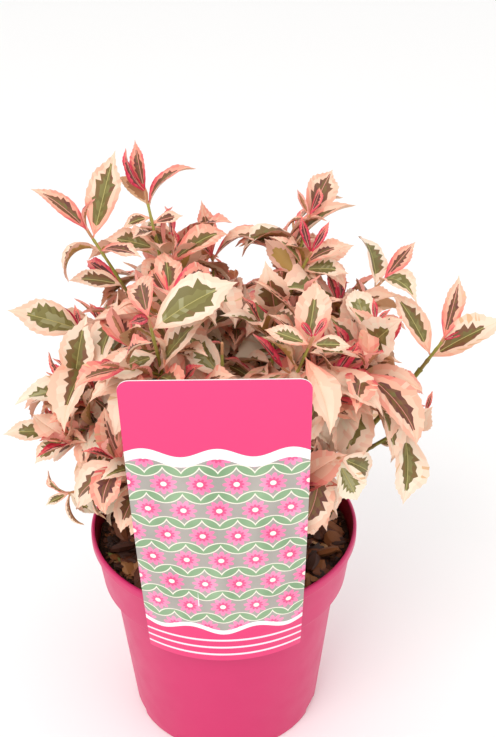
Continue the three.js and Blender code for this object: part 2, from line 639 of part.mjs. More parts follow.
// The leaders of each mass as chains of points. With the midribs of the leaves set by hand they
// are the axes of the space that the mass keeps to.
const LEADER_POINTS = 4;
const MIDRIB_SHARES = [0, 0.5, 1];
const leaders = SHOOTS.map((shoot) => {
  const { path, whole, length } = boughs.get(shoot.name);
  const chains = [pathPart(path, length + JOINT_GAP, whole, LEADER_POINTS)];
  const rolls = [shoot.roll];
  for (const fork of FORKS.filter((each) => each.within === shoot.name)) {
    const from = alongPath(chains[0], shoot.leafy * fork.at).spot;
    const branch = shootPath(from, polar(fork.azimuth, fork.reach, fork.height), BOW);
    chains.push(pathPart(branch, 0, pathLength(branch), LEADER_POINTS));
    rolls.push(fork.roll);
  }
  const own = LEADING_LEAVES.filter((each) => each.within === shoot.name);
  const leading = own.map((each) => leadingLeaf(each, chains));
  const midribs = leading.map((leaf) => MIDRIB_SHARES.map((t) => leafPoint(leaf, t, 0).spot));
  return { shoot, chains, rolls, leading, axes: [...chains, ...midribs] };
});

function distanceToChain(spot, chain) {
  let nearest = Infinity;
  const line = new THREE.Line3();
  const foot = new THREE.Vector3();
  for (let i = 1; i < chain.length; i += 1) {
    line.set(chain[i - 1], chain[i]);
    line.closestPointToPoint(spot, true, foot);
    nearest = Math.min(nearest, foot.distanceTo(spot));
  }
  return nearest;
}

const distanceToMass = (spot, mass) => Math.min(...mass.axes.map((axis) => distanceToChain(spot, axis)));

// True where a spot lies in the mass's own space: nearer to its axes than to any other's, clear
// of every bough, behind the card, and clear of the pot and the compost.
function isFree(spot, mass, limbMargin) {
  const radius = Math.hypot(spot.x, spot.y);
  if (spot.z < SOIL_LEVEL + SOIL_CLEARANCE) {
    if (radius < BEAD_RADIUS + RIM_CLEARANCE) return false;
    if (spot.z < SOIL_LEVEL) return false;
  }
  const byRim = radius > BEAD_INNER_RADIUS - RIM_INNER_CLEARANCE && radius < BEAD_RADIUS + RIM_CLEARANCE;
  if (byRim && spot.z < POT_HEIGHT + SOIL_CLEARANCE) return false;
  const across = spot.x - CARD_CENTRE_X;
  if (Math.abs(across) < CARD_WIDTH / 2 + CARD_SIDE_CLEARANCE) {
    const back = cardBack(spot.z);
    if (spot.y < back + cardWrap(across, spot.z) + CARD_CLEARANCE) return false;
    const byTongue = spot.z < POT_HEIGHT + TONGUE_ROOM_HEIGHT && spot.y < back + TONGUE_ROOM_DEPTH;
    if (byTongue && Math.abs(spot.x) < TONGUE_WIDTH / 2 + CARD_CLEARANCE) return false;
  }
  const own = distanceToMass(spot, mass) + SPACE_MARGIN;
  for (const other of leaders) {
    if (other !== mass && distanceToMass(spot, other) < own) return false;
  }
  for (const bough of boughs.values()) {
    if (distanceToChain(spot, bough.points) < bough.rootRadius + limbMargin) return false;
  }
  return true;
}

// True where a spot lies in one of the crown's open slots.
function inOpenSlot(spot) {
  const through = SLOT_FAN.clone().lerp(spot, SLOT_FAN.y / (SLOT_FAN.y - spot.y));
  return OPEN_SLOTS.some(([x, z, radius]) => Math.hypot(through.x - x, through.z - z) < radius);
}

// A leaf is kept where every spot of it is free and it doesn't run through an earlier leaf.
function leafFits(spots, mass, taken) {
  if (spots.some(inOpenSlot)) return false;
  if (!spots.every((spot) => isFree(spot, mass, LIMB_MARGIN))) return false;
  return !taken.some((other) => spots.some((spot) => spot.distanceTo(other) < LEAF_MARGIN));
}

// A leaf's solid: a bent, folded blade with sharp edges, thickest at its midrib. It has one
// station between root and tip, or two where it is set by hand: share of length, and of width.
const LEAF_STATIONS = [[0.42, 1]];
const LEADING_STATIONS = [[0.3, 0.92], [0.62, 0.8]];

function leafGeometry(leaf) {
  const half = leaf.length * LEAF_THICKNESS_SHARE * 0.5;
  const places = [leafPoint(leaf, 0, 0).spot];
  for (const [t, width] of leaf.leading ? LEADING_STATIONS : LEAF_STATIONS) {
    const across = (width * leaf.width) / 2;
    const middle = leafPoint(leaf, t, 0);
    places.push(leafPoint(leaf, t, -across).spot);
    places.push(middle.spot.clone().addScaledVector(middle.face, half));
    places.push(leafPoint(leaf, t, across).spot);
    places.push(middle.spot.clone().addScaledVector(middle.face, -half));
  }
  places.push(leafPoint(leaf, 1, 0).spot);
  const tip = places.length - 1;
  const faces = [];
  for (let k = 0; k < 4; k += 1) {
    const next = (k + 1) % 4;
    faces.push(0, 1 + next, 1 + k);
    for (let row = 5; row < tip; row += 4) {
      faces.push(row - 4 + k, row - 4 + next, row + next);
      faces.push(row - 4 + k, row + next, row + k);
    }
    faces.push(tip, tip - 4 + k, tip - 4 + next);
  }
  const geometry = new THREE.BufferGeometry();
  geometry.setAttribute('position', new THREE.Float32BufferAttribute(places.flatMap((p) => p.toArray()), 3));
  geometry.setIndex(faces);
  return geometry;
}

// The ways that a leaf is tried in turn: its length as a share of the full one, and how far it
// swings round the twig and lifts from it, in degrees.
const LEAF_TRIES = [
  { trim: 1, swing: 0, lift: 0 },
  { trim: 1, swing: 20, lift: 6 },
  { trim: 1, swing: -20, lift: 6 },
  { trim: 0.95, swing: 0, lift: -20 },
  { trim: 0.9, swing: 40, lift: 14 },
  { trim: 0.9, swing: -40, lift: 14 },
  { trim: 0.85, swing: 0, lift: 20 },
  { trim: 0.8, swing: 60, lift: 0 },
  { trim: 0.8, swing: -60, lift: 0 },
  { trim: 0.7, swing: 20, lift: -30 },
  { trim: 0.7, swing: -20, lift: -30 },
];

// One mass: the leaves set by hand, its leaders, side twigs from the axils of the leaf pairs, and
// the leaves on them.
function growMass(mass, seed) {
  const dice = makeDice(seed);
  const between = ([low, high]) => low + (high - low) * dice();
  const twigs = [];
  const within = (spots) => spots.every((spot) => isFree(spot, mass, LIMB_MARGIN));
  const leaves = mass.leading.filter((leaf) => within(leafSpots(leaf)));
  const taken = leaves.flatMap(leafSpots);

  function addLeaf(root, way, roll, pair, fullLength) {
    const flat = new THREE.Vector3().crossVectors(UP, way);
    if (flat.length() < 0.1) flat.set(0, -1, 0);
    flat.normalize();
    const above = way.clone().cross(flat);
    const aim = radians(roll + between(LEAF_ROLL_PLAY));
    const outward = flat.multiplyScalar(Math.cos(aim)).addScaledVector(above, Math.sin(aim));
    const tilt = PAIR_ANGLES[pair] + between(LEAF_TILT_PLAY);
    const length = LEAF_GROWTH * fullLength * PAIR_SIZES[pair] * between(LEAF_SIZE_PLAY);
    const sag = BUD_SAGS[pair] ?? between(LEAF_SAG);
    const curl = Math.abs(between(pair ? LEAF_CURL : BUD_CURL));
    const fold = between(pair ? LEAF_FOLD : BUD_FOLD);
    const slim = pair ? between(LEAF_SLIMNESS) : BUD_SLIMNESS;
    for (const { trim, swing, lift } of LEAF_TRIES) {
      const angle = radians(tilt + lift);
      const facing = outward.clone().applyAxisAngle(way, radians(swing));
      const out = way.clone().multiplyScalar(Math.cos(angle)).addScaledVector(facing, Math.sin(angle));
      out.addScaledVector(UP, -sag).normalize();
      const up = way.clone().add(UP).addScaledVector(facing, -LEAF_FACE_LEAN);
      up.addScaledVector(out, -up.dot(out)).normalize();
      const size = length * trim;
      const leaf = { root, out, up, length: size, width: size * LEAF_WIDTH_SHARE * slim, curl, fold };
      const spots = leafSpots(leaf);
      if (leafFits(spots, mass, taken)) {
        leaves.push(leaf);
        taken.push(...spots);
        return;
      }
    }
  }

  function addTwig(chain, roll, level, takenLength) {
    const length = pathLength(chain);
    const rootRadius = level ? SIDE_TWIG_SLIMNESS * TWIG_ROOT_RADIUS : TWIG_ROOT_RADIUS;
    const fullLength = mass.shoot.leaf * (level ? SIDE_TWIG_SHARE : 1);
    twigs.push({ chain, rootRadius });
    for (let pair = level; pair < PAIR_STEPS.length; pair += 1) {
      if (PAIR_STEPS[pair] < takenLength) continue;
      const from = length - PAIR_STEPS[pair] + (level ? SIDE_TWIG_SHIFT : 0);
      if (from < BARE_FOOT) break;
      const { spot, way } = alongPath(chain, from);
      for (const turn of [0, 180]) {
        const angle = roll + 90 * pair + turn;
        addLeaf(spot, way, angle, pair, fullLength);
        const sprouts = dice() < SIDE_TWIG_CHANCE;
        const reach = between(SIDE_TWIG_REACH);
        const spread = radians(between(SIDE_TWIG_SPREAD));
        if (level || pair < SIDE_TWIG_FIRST_PAIR || !sprouts) continue;
        const flat = new THREE.Vector3().crossVectors(UP, way).normalize();
        const outward = flat.clone().multiplyScalar(Math.cos(radians(angle)));
        outward.addScaledVector(way.clone().cross(flat), Math.sin(radians(angle)));
        const aim = way.clone().multiplyScalar(Math.cos(spread)).addScaledVector(outward, Math.sin(spread));
        const end = spot.clone().addScaledVector(aim, reach).addScaledVector(UP, SIDE_TWIG_RISE * reach);
        const side = [spot, end];
        const tests = pathPart(side, SIDE_TWIG_CLEAR_FROM, reach, SIDE_TWIG_TESTS);
        const clear = tests.every((each) => !inOpenSlot(each) && isFree(each, mass, SIDE_TWIG_MARGIN));
        if (clear) addTwig(side, angle + 90, 1, 0);
      }
    }
  }

  for (const [line, chain] of mass.chains.entries()) {
    const borne = mass.leading.filter((leaf) => leaf.line === line);
    addTwig(chain, mass.rolls[line], 0, Math.max(0, ...borne.map((leaf) => leaf.step + LEADING_SPACING)));
  }
  return { twigs, leaves };
}

function massSolid({ twigs, leaves }) {
  let mass = null;
  for (const { chain, rootRadius } of twigs) {
    const twig = solidOf(limbGeometry(chain, rootRadius, TWIG_TIP_RADIUS, TWIG_SIDES));
    mass = mass ? mass.add(twig) : twig;
  }
  for (const leaf of leaves) mass = mass.add(solidOf(leafGeometry(leaf)));
  return mass;
}

// ---- the assembly

const finish = (color, roughness) => new THREE.MeshStandardMaterial({ color, roughness, metalness: 0 });

const plant = new THREE.Group();
addNode(plant, 'pot', potSolid(), finish(0xe2347a, 0.35));
addNode(plant, 'compost', soilSolid(), finish(0x3a2218, 0.95));
addNode(plant, 'base_stem', stemSolid(0), finish(0x5a4028, 0.85));
addNode(plant, 'label', labelSolid(), finish(0xf23f86, 0.4));

for (const shoot of SHOOTS) {
  const { points, rootRadius, parent } = boughs.get(shoot.name);
  const limb = solidOf(limbGeometry(points, rootRadius, BOUGH_TIP_RADIUS, BOUGH_SIDES));
  const gapped = (bough) => [bough.points, bough.rootRadius + JOINT_GAP, BOUGH_TIP_RADIUS + JOINT_GAP];
  const carrier = parent ? solidOf(limbGeometry(...gapped(parent), BOUGH_SIDES)) : stemSolid(JOINT_GAP);
  addNode(plant, `bough_${shoot.name}`, limb.subtract(carrier), finish(0x7d7a35, 0.7));
}

for (const [index, mass] of leaders.entries()) {
  const grown = growMass(mass, LEAF_SEED + 97 * index);
  addNode(plant, `leaves_${mass.shoot.name}`, massSolid(grown), finish(0xf0b9a4, 0.6));
}

export default plant;
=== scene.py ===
import math

import bpy
import numpy as np
from mathutils import Matrix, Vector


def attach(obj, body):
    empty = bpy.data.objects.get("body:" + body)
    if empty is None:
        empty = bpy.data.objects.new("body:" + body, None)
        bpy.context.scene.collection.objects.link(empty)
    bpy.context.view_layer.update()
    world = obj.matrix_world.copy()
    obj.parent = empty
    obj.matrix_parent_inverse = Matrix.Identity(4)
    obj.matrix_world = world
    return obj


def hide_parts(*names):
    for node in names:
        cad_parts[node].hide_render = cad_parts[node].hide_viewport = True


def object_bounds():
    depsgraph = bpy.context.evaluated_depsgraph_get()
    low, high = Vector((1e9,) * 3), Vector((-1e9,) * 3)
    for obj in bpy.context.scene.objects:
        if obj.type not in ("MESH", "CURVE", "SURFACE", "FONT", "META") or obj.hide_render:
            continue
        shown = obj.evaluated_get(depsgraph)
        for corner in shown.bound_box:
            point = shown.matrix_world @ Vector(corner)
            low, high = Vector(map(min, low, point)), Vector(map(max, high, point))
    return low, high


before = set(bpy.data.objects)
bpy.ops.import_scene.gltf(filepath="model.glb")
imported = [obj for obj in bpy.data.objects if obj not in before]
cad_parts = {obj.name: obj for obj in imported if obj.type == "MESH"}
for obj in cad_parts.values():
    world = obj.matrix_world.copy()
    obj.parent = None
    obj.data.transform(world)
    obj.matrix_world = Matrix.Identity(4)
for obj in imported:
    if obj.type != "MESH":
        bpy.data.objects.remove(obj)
cad_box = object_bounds()

# ---- The view: table, light and camera
# A pale studio table under a white tent, with a broad lamp over the camera's left shoulder and a
# weak one on its right. The camera looks down from in front. Places are in millimetres.
MM = 0.001
TABLE_SIZE = 12000
TENT_STRENGTH = 0.98
LAMP_PLACES = {"key": (-700, -1300, 1900), "fill": (1100, -900, 900)}
LAMP_POWERS = {"key": 17.5, "fill": 1.5}
LAMP_SIZES = {"key": 1100, "fill": 900}
AIM = np.array([17.7, 0, 285.2])
SENSOR_WIDTH = 36
EYE_DISTANCE = 751
EYE_PITCH = math.radians(30.4)
EYE_ROLL = math.radians(0.27)
FOCAL_PIXELS = 1133
LONG_SIDE_PIXELS = 737


def linear(code):
    """The scene colour of a hexadecimal screen colour."""
    parts = [int(code[i : i + 2], 16) / 255 for i in (0, 2, 4)]
    return tuple(p / 12.92 if p <= 0.04045 else ((p + 0.055) / 1.055) ** 2.4 for p in parts)


def finish_of(name, colour, roughness):
    """A finish with one base colour, and its shader."""
    material = bpy.data.materials.new(name)
    material.use_nodes = True
    shader = material.node_tree.nodes["Principled BSDF"]
    shader.inputs["Base Color"].default_value = (*linear(colour), 1)
    shader.inputs["Roughness"].default_value = roughness
    return material, shader


def piece_of(name, places, faces, finishes, slots=None, crease=40):
    """A piece from places in millimetres, smooth but for edges sharper than the crease angle."""
    mesh = bpy.data.meshes.new(name)
    mesh.from_pydata((np.asarray(places) * MM).tolist(), [], faces)
    for finish in finishes:
        mesh.materials.append(finish)
    if slots is not None:
        mesh.polygons.foreach_set("material_index", np.asarray(slots, dtype=np.int32))
    mesh.shade_smooth()
    mesh.set_sharp_from_angle(angle=math.radians(crease))
    piece = bpy.data.objects.new(name, mesh)
    bpy.context.scene.collection.objects.link(piece)
    return piece


half_table = TABLE_SIZE / 2
table_corners = [(x * half_table, y * half_table, 0) for x, y in ((-1, -1), (1, -1), (1, 1), (-1, 1))]
table_paint, _ = finish_of("table paint", "FBFAF9", 0.7)
table_top = piece_of("studio_table", table_corners, [(0, 1, 2, 3)], [table_paint])

tent = bpy.data.worlds.new("white tent")
tent.use_nodes = True
tent.node_tree.nodes["Background"].inputs["Color"].default_value = (1, 1, 1, 1)
tent.node_tree.nodes["Background"].inputs["Strength"].default_value = TENT_STRENGTH
bpy.context.scene.world = tent
bpy.context.scene.view_settings.view_transform = "Standard"


def face_along(thing, place, right, up, back):
    """Stands a lamp or the camera at a place, with its own axes along these ways."""
    matrix = np.eye(4)
    matrix[:3, 0], matrix[:3, 1], matrix[:3, 2], matrix[:3, 3] = right, up, back, np.asarray(place) * MM
    thing.matrix_world = Matrix(matrix.tolist())
    bpy.context.scene.collection.objects.link(thing)


def unit(way):
    return way / np.linalg.norm(way)


for lamp_name, lamp_place in LAMP_PLACES.items():
    lamp = bpy.data.lights.new(lamp_name, "AREA")
    lamp.energy = LAMP_POWERS[lamp_name]
    lamp.size = LAMP_SIZES[lamp_name] * MM
    back = unit(np.array(lamp_place) - AIM)
    right = unit(np.cross((0, 0, 1), back))
    lamp_object = bpy.data.objects.new(lamp_name, lamp)
    face_along(lamp_object, lamp_place, right, np.cross(back, right), back)

eye_back = np.array([0, -math.cos(EYE_PITCH), math.sin(EYE_PITCH)])
eye_up = np.array([0, math.sin(EYE_PITCH), math.cos(EYE_PITCH)])
eye_right = np.array([1.0, 0, 0])
rolled_right = math.cos(EYE_ROLL) * eye_right - math.sin(EYE_ROLL) * eye_up
rolled_up = math.sin(EYE_ROLL) * eye_right + math.cos(EYE_ROLL) * eye_up
camera = bpy.data.cameras.new("camera")
camera.sensor_width = SENSOR_WIDTH
camera.lens = SENSOR_WIDTH * FOCAL_PIXELS / LONG_SIDE_PIXELS
camera.clip_end = 50
camera_object = bpy.data.objects.new("camera", camera)
face_along(camera_object, AIM + eye_back * EYE_DISTANCE, rolled_right, rolled_up, eye_back)
bpy.context.scene.camera = camera_object

# ---- The pot
# A 19 cm nursery pot, moulded in one piece of dyed polypropylene with a satin outside. The wall
# steps out to a collar under the rolled rim, and the foot ring is notched to let water out. The
# inner wall is the same plastic painted a deeper red, as painted shade.
POT_HEIGHT = 160.8
FOOT_RADIUS = 69.9
WAIST_RADIUS = 82
COLLAR_BOTTOM = 120.5
COLLAR_RADIUS = 88.7
BEAD_BOTTOM = 153.5
BEAD_BOTTOM_RADIUS = 92.6
BEAD_RADIUS = 95
BEAD_INNER_RADIUS = 92.3
POT_WALL = 1.6
POT_FLOOR = 3
POT_SIDES = 192
FOOT_BEVEL = 1.5
FOOT_RING_WIDTH = 3
FOOT_NOTCHES = 8
NOTCH_WIDTH = 14
NOTCH_HEIGHT = 6
NOTCH_DEPTH = 1.1
HUB_RADIUS = 20
FOOT_RING_INNER = 58
UNDERSIDE_RECESS = 1.2
WAIST_STEP = 5
LIP_BEVEL = 1.6


def arc(centre_r, centre_z, radius, start, end, steps):
    """Points of an arc in the profile's plane, from one angle in degrees to another."""
    angles = np.radians(np.linspace(start, end, steps))
    return [(centre_r + radius * math.cos(a), centre_z + radius * math.sin(a)) for a in angles]


def revolve(profile, sides):
    """Places and faces of a closed form turned about the axis; its profile runs from axis to axis."""
    angles = np.arange(sides) * 2 * math.pi / sides
    rings = profile[1:-1]
    places = [(r * math.cos(a), r * math.sin(a), z) for r, z in rings for a in angles]
    places += [(0, 0, profile[0][1]), (0, 0, profile[-1][1])]
    first, last = len(places) - 2, len(places) - 1
    faces = []
    for j in range(sides):
        k = (j + 1) % sides
        faces.append((first, k, j))
        for ring in range(len(rings) - 1):
            low, high = ring * sides, (ring + 1) * sides
            faces.append((low + j, low + k, high + k, high + j))
        top = (len(rings) - 1) * sides
        faces.append((top + j, top + k, last))
    return np.array(places), faces


def wall_radius(z):
    """The radius of the pot's outside at a height."""
    if z < COLLAR_BOTTOM:
        return FOOT_RADIUS + z / COLLAR_BOTTOM * (WAIST_RADIUS - FOOT_RADIUS)
    rise = (z - COLLAR_BOTTOM) / (BEAD_BOTTOM - COLLAR_BOTTOM)
    return COLLAR_RADIUS + rise * (BEAD_BOTTOM_RADIUS - COLLAR_RADIUS)


waist_top = COLLAR_BOTTOM - WAIST_STEP
pot_profile = [(0, 0), (HUB_RADIUS, 0), (HUB_RADIUS + 1, UNDERSIDE_RECESS)]
pot_profile += [(FOOT_RING_INNER, UNDERSIDE_RECESS), (FOOT_RING_INNER + 1, 0)]
pot_profile += arc(FOOT_RADIUS - FOOT_BEVEL, FOOT_BEVEL, FOOT_BEVEL, -90, 0, 5)
pot_profile += [(wall_radius(z), z) for z in (NOTCH_HEIGHT - 0.4, NOTCH_HEIGHT + 0.4, 40, 80, waist_top - 4)]
pot_profile += arc(wall_radius(waist_top) + 4, waist_top, 4.2, 170, 100, 5)
pot_profile += arc(COLLAR_RADIUS - 1.2, COLLAR_BOTTOM + 1.2, 1.2, -80, 0, 5)
pot_profile += [(wall_radius(BEAD_BOTTOM - 1), BEAD_BOTTOM - 1)]
pot_profile += arc(BEAD_RADIUS - 1, BEAD_BOTTOM + 1.2, 1, -80, 0, 4)
pot_profile += arc(BEAD_RADIUS - LIP_BEVEL, POT_HEIGHT - LIP_BEVEL, LIP_BEVEL, 5, 120, 7)
pot_profile += [(BEAD_INNER_RADIUS, POT_HEIGHT - 1.1)]
pot_profile += [(wall_radius(BEAD_BOTTOM) - POT_WALL, BEAD_BOTTOM - 2)]
inside_start = len(pot_profile) - 3
pot_profile += [(wall_radius(z) - POT_WALL, z) for z in (COLLAR_BOTTOM + 3, waist_top, POT_FLOOR)]
pot_profile += [(0, POT_FLOOR)]

pot_places, pot_faces = revolve(pot_profile, POT_SIDES)
pot_radius = np.hypot(pot_places[:, 0], pot_places[:, 1])
turn_in_notch = np.arctan2(pot_places[:, 1], pot_places[:, 0]) / (2 * math.pi) * FOOT_NOTCHES % 1 - 0.5
across_notch = np.abs(turn_in_notch) * 2 * math.pi / FOOT_NOTCHES * FOOT_RADIUS
in_foot_ring = (pot_places[:, 2] < NOTCH_HEIGHT) & (pot_radius > FOOT_RADIUS - FOOT_RING_WIDTH)
notched = (across_notch < NOTCH_WIDTH / 2) & in_foot_ring
notched &= np.arange(len(pot_places)) < inside_start * POT_SIDES
pot_places[notched, :2] *= 1 - NOTCH_DEPTH / FOOT_RADIUS


def noise_of(material, scale, detail=2):
    """A cloudy share over a finish; scale is how many clouds there are in a metre."""
    nodes = material.node_tree.nodes
    noise = nodes.new("ShaderNodeTexNoise")
    noise.inputs["Scale"].default_value = scale
    noise.inputs["Detail"].default_value = detail
    material.node_tree.links.new(nodes.new("ShaderNodeTexCoord").outputs["Object"], noise.inputs["Vector"])
    return noise.outputs["Fac"]


def ranged(material, value, low, high, to_low, to_high):
    """A value carried from one range to another."""
    node = material.node_tree.nodes.new("ShaderNodeMapRange")
    for socket, bound in zip(("From Min", "From Max", "To Min", "To Max"), (low, high, to_low, to_high)):
        node.inputs[socket].default_value = bound
    material.node_tree.links.new(value, node.inputs["Value"])
    return node.outputs["Result"]


def mixed(material, share, under, over):
    """One colour over another by a share; each is a screen colour or one worked out before."""
    node = material.node_tree.nodes.new("ShaderNodeMix")
    node.data_type = "RGBA"
    material.node_tree.links.new(share, node.inputs["Factor"])
    for socket, colour in (("A", under), ("B", over)):
        if isinstance(colour, str):
            node.inputs[socket].default_value = (*linear(colour), 1)
        else:
            material.node_tree.links.new(colour, node.inputs[socket])
    return node.outputs["Result"]


def add_relief(material, height, depth, strength=1):
    """Raises a finish by a share; depth is in millimetres."""
    relief = material.node_tree.nodes.new("ShaderNodeBump")
    relief.inputs["Strength"].default_value = strength
    relief.inputs["Distance"].default_value = depth * MM
    shader = material.node_tree.nodes["Principled BSDF"]
    material.node_tree.links.new(height, relief.inputs["Height"])
    material.node_tree.links.new(relief.outputs["Normal"], shader.inputs["Normal"])


def moulded_plastic(name, light, dark):
    """Dyed plastic: cloudy colour, a satin skin with fine orange peel, and rubbed patches. For the inner
    wall the given colours are darker, as painted shade.
    """
    material, shader = finish_of(name, light, 0.36)
    dye_and_painted_shade = mixed(material, noise_of(material, 14, 5), light, dark)
    rub = ranged(material, noise_of(material, 70, 8), 0, 1, 0.28, 0.5)
    material.node_tree.links.new(dye_and_painted_shade, shader.inputs["Base Color"])
    material.node_tree.links.new(rub, shader.inputs["Roughness"])
    add_relief(material, noise_of(material, 900), 0.2, 0.12)
    return material


def painted_shade_inside_face(face):
    """True for a face of the pot's inner wall, which takes the darker finish of painted shade."""
    return min(face) >= inside_start * POT_SIDES


# The outside is the plastic's own magenta; the inside is the same plastic given a deeper red, as painted
# shade for the shadow inside the pot.
pot_finishes = [
    moulded_plastic("pot outside", "D21F66", "C61B5F"),
    moulded_plastic("pot inside painted shade", "930A28", "7C0820"),
]
pot = piece_of("pot_shell", pot_places, pot_faces, pot_finishes, [painted_shade_inside_face(f) for f in pot_faces], 32)
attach(pot, "root")
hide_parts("pot")

# ---- The compost
# Peat with a deep mulch of bark: split chips of pine bark 8 to 20 mm long lie loose over it,
# with crumbs between them. The top is dished a little towards the plant.
SOIL_LEVEL = 148
SOIL_DISH = 3
SOIL_GAP = 0.5
SOIL_RADIUS = wall_radius(SOIL_LEVEL) - POT_WALL - SOIL_GAP
SOIL_SIDES = 96
SOIL_RINGS = 26
SOIL_LUMP = 1.6
SOIL_SINK = 1.4
CHIP_COUNT = 980
CHIP_LENGTHS = (8, 20)
CRUMB_COUNT = 1500
CRUMB_LENGTHS = (2, 5)
CRUMB_BREADTH = 1.7
CHIP_WIDTHS = (0.18, 0.4)
CHIP_THICKNESSES = (0.06, 0.16)
CHIP_ROUGHNESS = 0.09
CHIP_LEAN = math.radians(30)
STEM_CLEAR = 17
BARK_COLOURS = ["301508", "46200F", "5C2C14", "743E1E", "8C542C", "A06A3C", "B88C5E", "6C7034"]
BARK_SHARES = [0.17, 0.2, 0.2, 0.17, 0.13, 0.07, 0.04, 0.02]
SOIL_SEED = 61


def ripple(places, size, seed):
    """Smooth seeded lumps, about -1 to 1, of a size in millimetres."""
    dice = np.random.default_rng(seed)
    total = np.zeros(len(places))
    for _ in range(7):
        way = unit(dice.normal(size=3)) * 2 * math.pi / (size * dice.uniform(0.6, 1.5))
        total += np.sin(places @ way + dice.uniform(0, 2 * math.pi))
    return total / 3.5


def soil_height(x, y):
    """The height of the compost's top, as its solid has it."""
    out = np.hypot(x, y) / SOIL_RADIUS
    lump = np.sin(0.19 * x + 1.3) * np.cos(0.16 * y) + np.sin(0.31 * y + 0.23 * x)
    return SOIL_LEVEL - SOIL_DISH * (1 - out) + SOIL_LUMP * lump * (1 - 0.5 * out)


soil_profile = [(0, POT_FLOOR + SOIL_GAP), (wall_radius(POT_FLOOR) - 3, POT_FLOOR + SOIL_GAP)]
soil_profile += [(wall_radius(COLLAR_BOTTOM - 6) - 3, COLLAR_BOTTOM - 6)]
soil_profile += [(SOIL_RADIUS - 4, COLLAR_BOTTOM + 6)]
soil_profile += [(SOIL_RADIUS * (1 - i / SOIL_RINGS), SOIL_LEVEL) for i in range(SOIL_RINGS)]
soil_profile += [(0, SOIL_LEVEL)]
soil_places, soil_faces = revolve(soil_profile, SOIL_SIDES)
soil_top = soil_places[:, 2] > SOIL_LEVEL - 1
top_places = soil_places[soil_top]
grain = 0.7 * ripple(top_places, 9, SOIL_SEED) + 0.5 * ripple(top_places, 4, SOIL_SEED + 1)
soil_places[soil_top, 2] = soil_height(top_places[:, 0], top_places[:, 1]) - SOIL_SINK + grain


def peat_finish():
    """Dark damp peat with paler fibres."""
    material, shader = finish_of("peat", "2C1A11", 0.95)
    crumb = noise_of(material, 420, 10)
    tint = material.node_tree.nodes.new("ShaderNodeValToRGB")
    for stop, place, code in zip(tint.color_ramp.elements, (0.35, 0.75), ("1B0F0A", "5A3822")):
        stop.position = place
        stop.color = (*linear(code), 1)
    material.node_tree.links.new(crumb, tint.inputs["Fac"])
    material.node_tree.links.new(tint.outputs["Color"], shader.inputs["Base Color"])
    add_relief(material, crumb, 1.2)
    return material


peat = piece_of("compost_peat", soil_places, soil_faces, [peat_finish()], crease=60)
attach(peat, "root")
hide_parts("compost")


def tumble(yaw, pitch, roll):
    """The turn of a loose chip, from three angles."""
    cy, sy, cp, sp, cr, sr = (f(a) for a in (yaw, pitch, roll) for f in (math.cos, math.sin))
    heading = np.array([[cy, -sy, 0], [sy, cy, 0], [0, 0, 1]])
    lift = np.array([[cp, 0, sp], [0, 1, 0], [-sp, 0, cp]])
    lean = np.array([[1, 0, 0], [0, cr, -sr], [0, sr, cr]])
    return heading @ lift @ lean


CHIP_STATIONS = [(-0.5, 0.45), (-0.28, 0.95), (0.2, 1), (0.5, 0.5)]
CHIP_RING = [(-1, -0.1), (-0.6, 0.8), (0.3, 1), (1, 0.2), (0.7, -0.9), (-0.4, -1)]
chip_shape = np.array([(u, v * w, n * w) for u, w in CHIP_STATIONS for v, n in CHIP_RING])
chip_corners = len(CHIP_RING)
chip_end = len(chip_shape) - chip_corners
chip_faces = []
for low in range(0, chip_end, chip_corners):
    for corner in range(chip_corners):
        high, near = low + chip_corners, (corner + 1) % chip_corners
        chip_faces.append((low + corner, high + corner, high + near, low + near))
chip_faces += [tuple(range(chip_corners)), tuple(range(len(chip_shape) - 1, chip_end - 1, -1))]


def bark_chips(count, lengths, breadth, seed):
    """Loose chips on the compost: their places, faces and colours."""
    dice = np.random.default_rng(seed)
    places, faces, slots = [], [], []
    for i in range(count):
        length = dice.uniform(*lengths)
        width = length * dice.uniform(*CHIP_WIDTHS) * breadth
        thickness = length * dice.uniform(*CHIP_THICKNESSES)
        reach = SOIL_RADIUS - 1.5 - 0.42 * length
        radius = math.sqrt(dice.uniform((STEM_CLEAR / reach) ** 2, 1)) * reach
        azimuth = dice.uniform(0, 2 * math.pi)
        x, y = radius * math.cos(azimuth), radius * math.sin(azimuth)
        chip = chip_shape + dice.uniform(-CHIP_ROUGHNESS, CHIP_ROUGHNESS, chip_shape.shape)
        yaw = dice.uniform(0, 2 * math.pi)
        pitch, roll = dice.uniform(-CHIP_LEAN, CHIP_LEAN, 2)
        tumbled = (chip * (length, width, thickness)) @ tumble(yaw, pitch, roll).T
        lift = thickness * dice.uniform(0.1, 1.5) + dice.uniform(-0.5, 1.6)
        places.append(tumbled + (x, y, soil_height(x, y) - 0.6 + lift))
        faces += [tuple(v + len(chip_shape) * i for v in face) for face in chip_faces]
        slots += [int(dice.choice(len(BARK_COLOURS), p=BARK_SHARES))] * len(chip_faces)
    return np.concatenate(places), faces, slots


bark_finishes = [finish_of(f"bark chip {i}", code, 0.62)[0] for i, code in enumerate(BARK_COLOURS)]
for mulch_name, mulch in {
    "compost_chips": bark_chips(CHIP_COUNT, CHIP_LENGTHS, 1, SOIL_SEED + 2),
    "compost_crumbs": bark_chips(CRUMB_COUNT, CRUMB_LENGTHS, CRUMB_BREADTH, SOIL_SEED + 3),
}.items():
    layer = piece_of(mulch_name, *mulch[:2], bark_finishes, mulch[2], crease=25)
    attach(layer, "root")

# ---- The base stem
# The woody crown that the canes spring from. Its bark is brown and split into upright ridges,
# and it flares where it goes into the compost.
STEM_HEIGHT = 13
STEM_TOP_RADIUS = 12.5
STEM_FLARE_RADIUS = 16
STEM_SOCKET_DEPTH = 15
STEM_SIDES = 64
STEM_RINGS = 18
RIDGE_COUNT = 17
RIDGE_HEIGHT = 0.7
STEM_LUMP = 0.6
YOUNG_BARK_FROM = 20
YOUNG_BARK_BY = 150


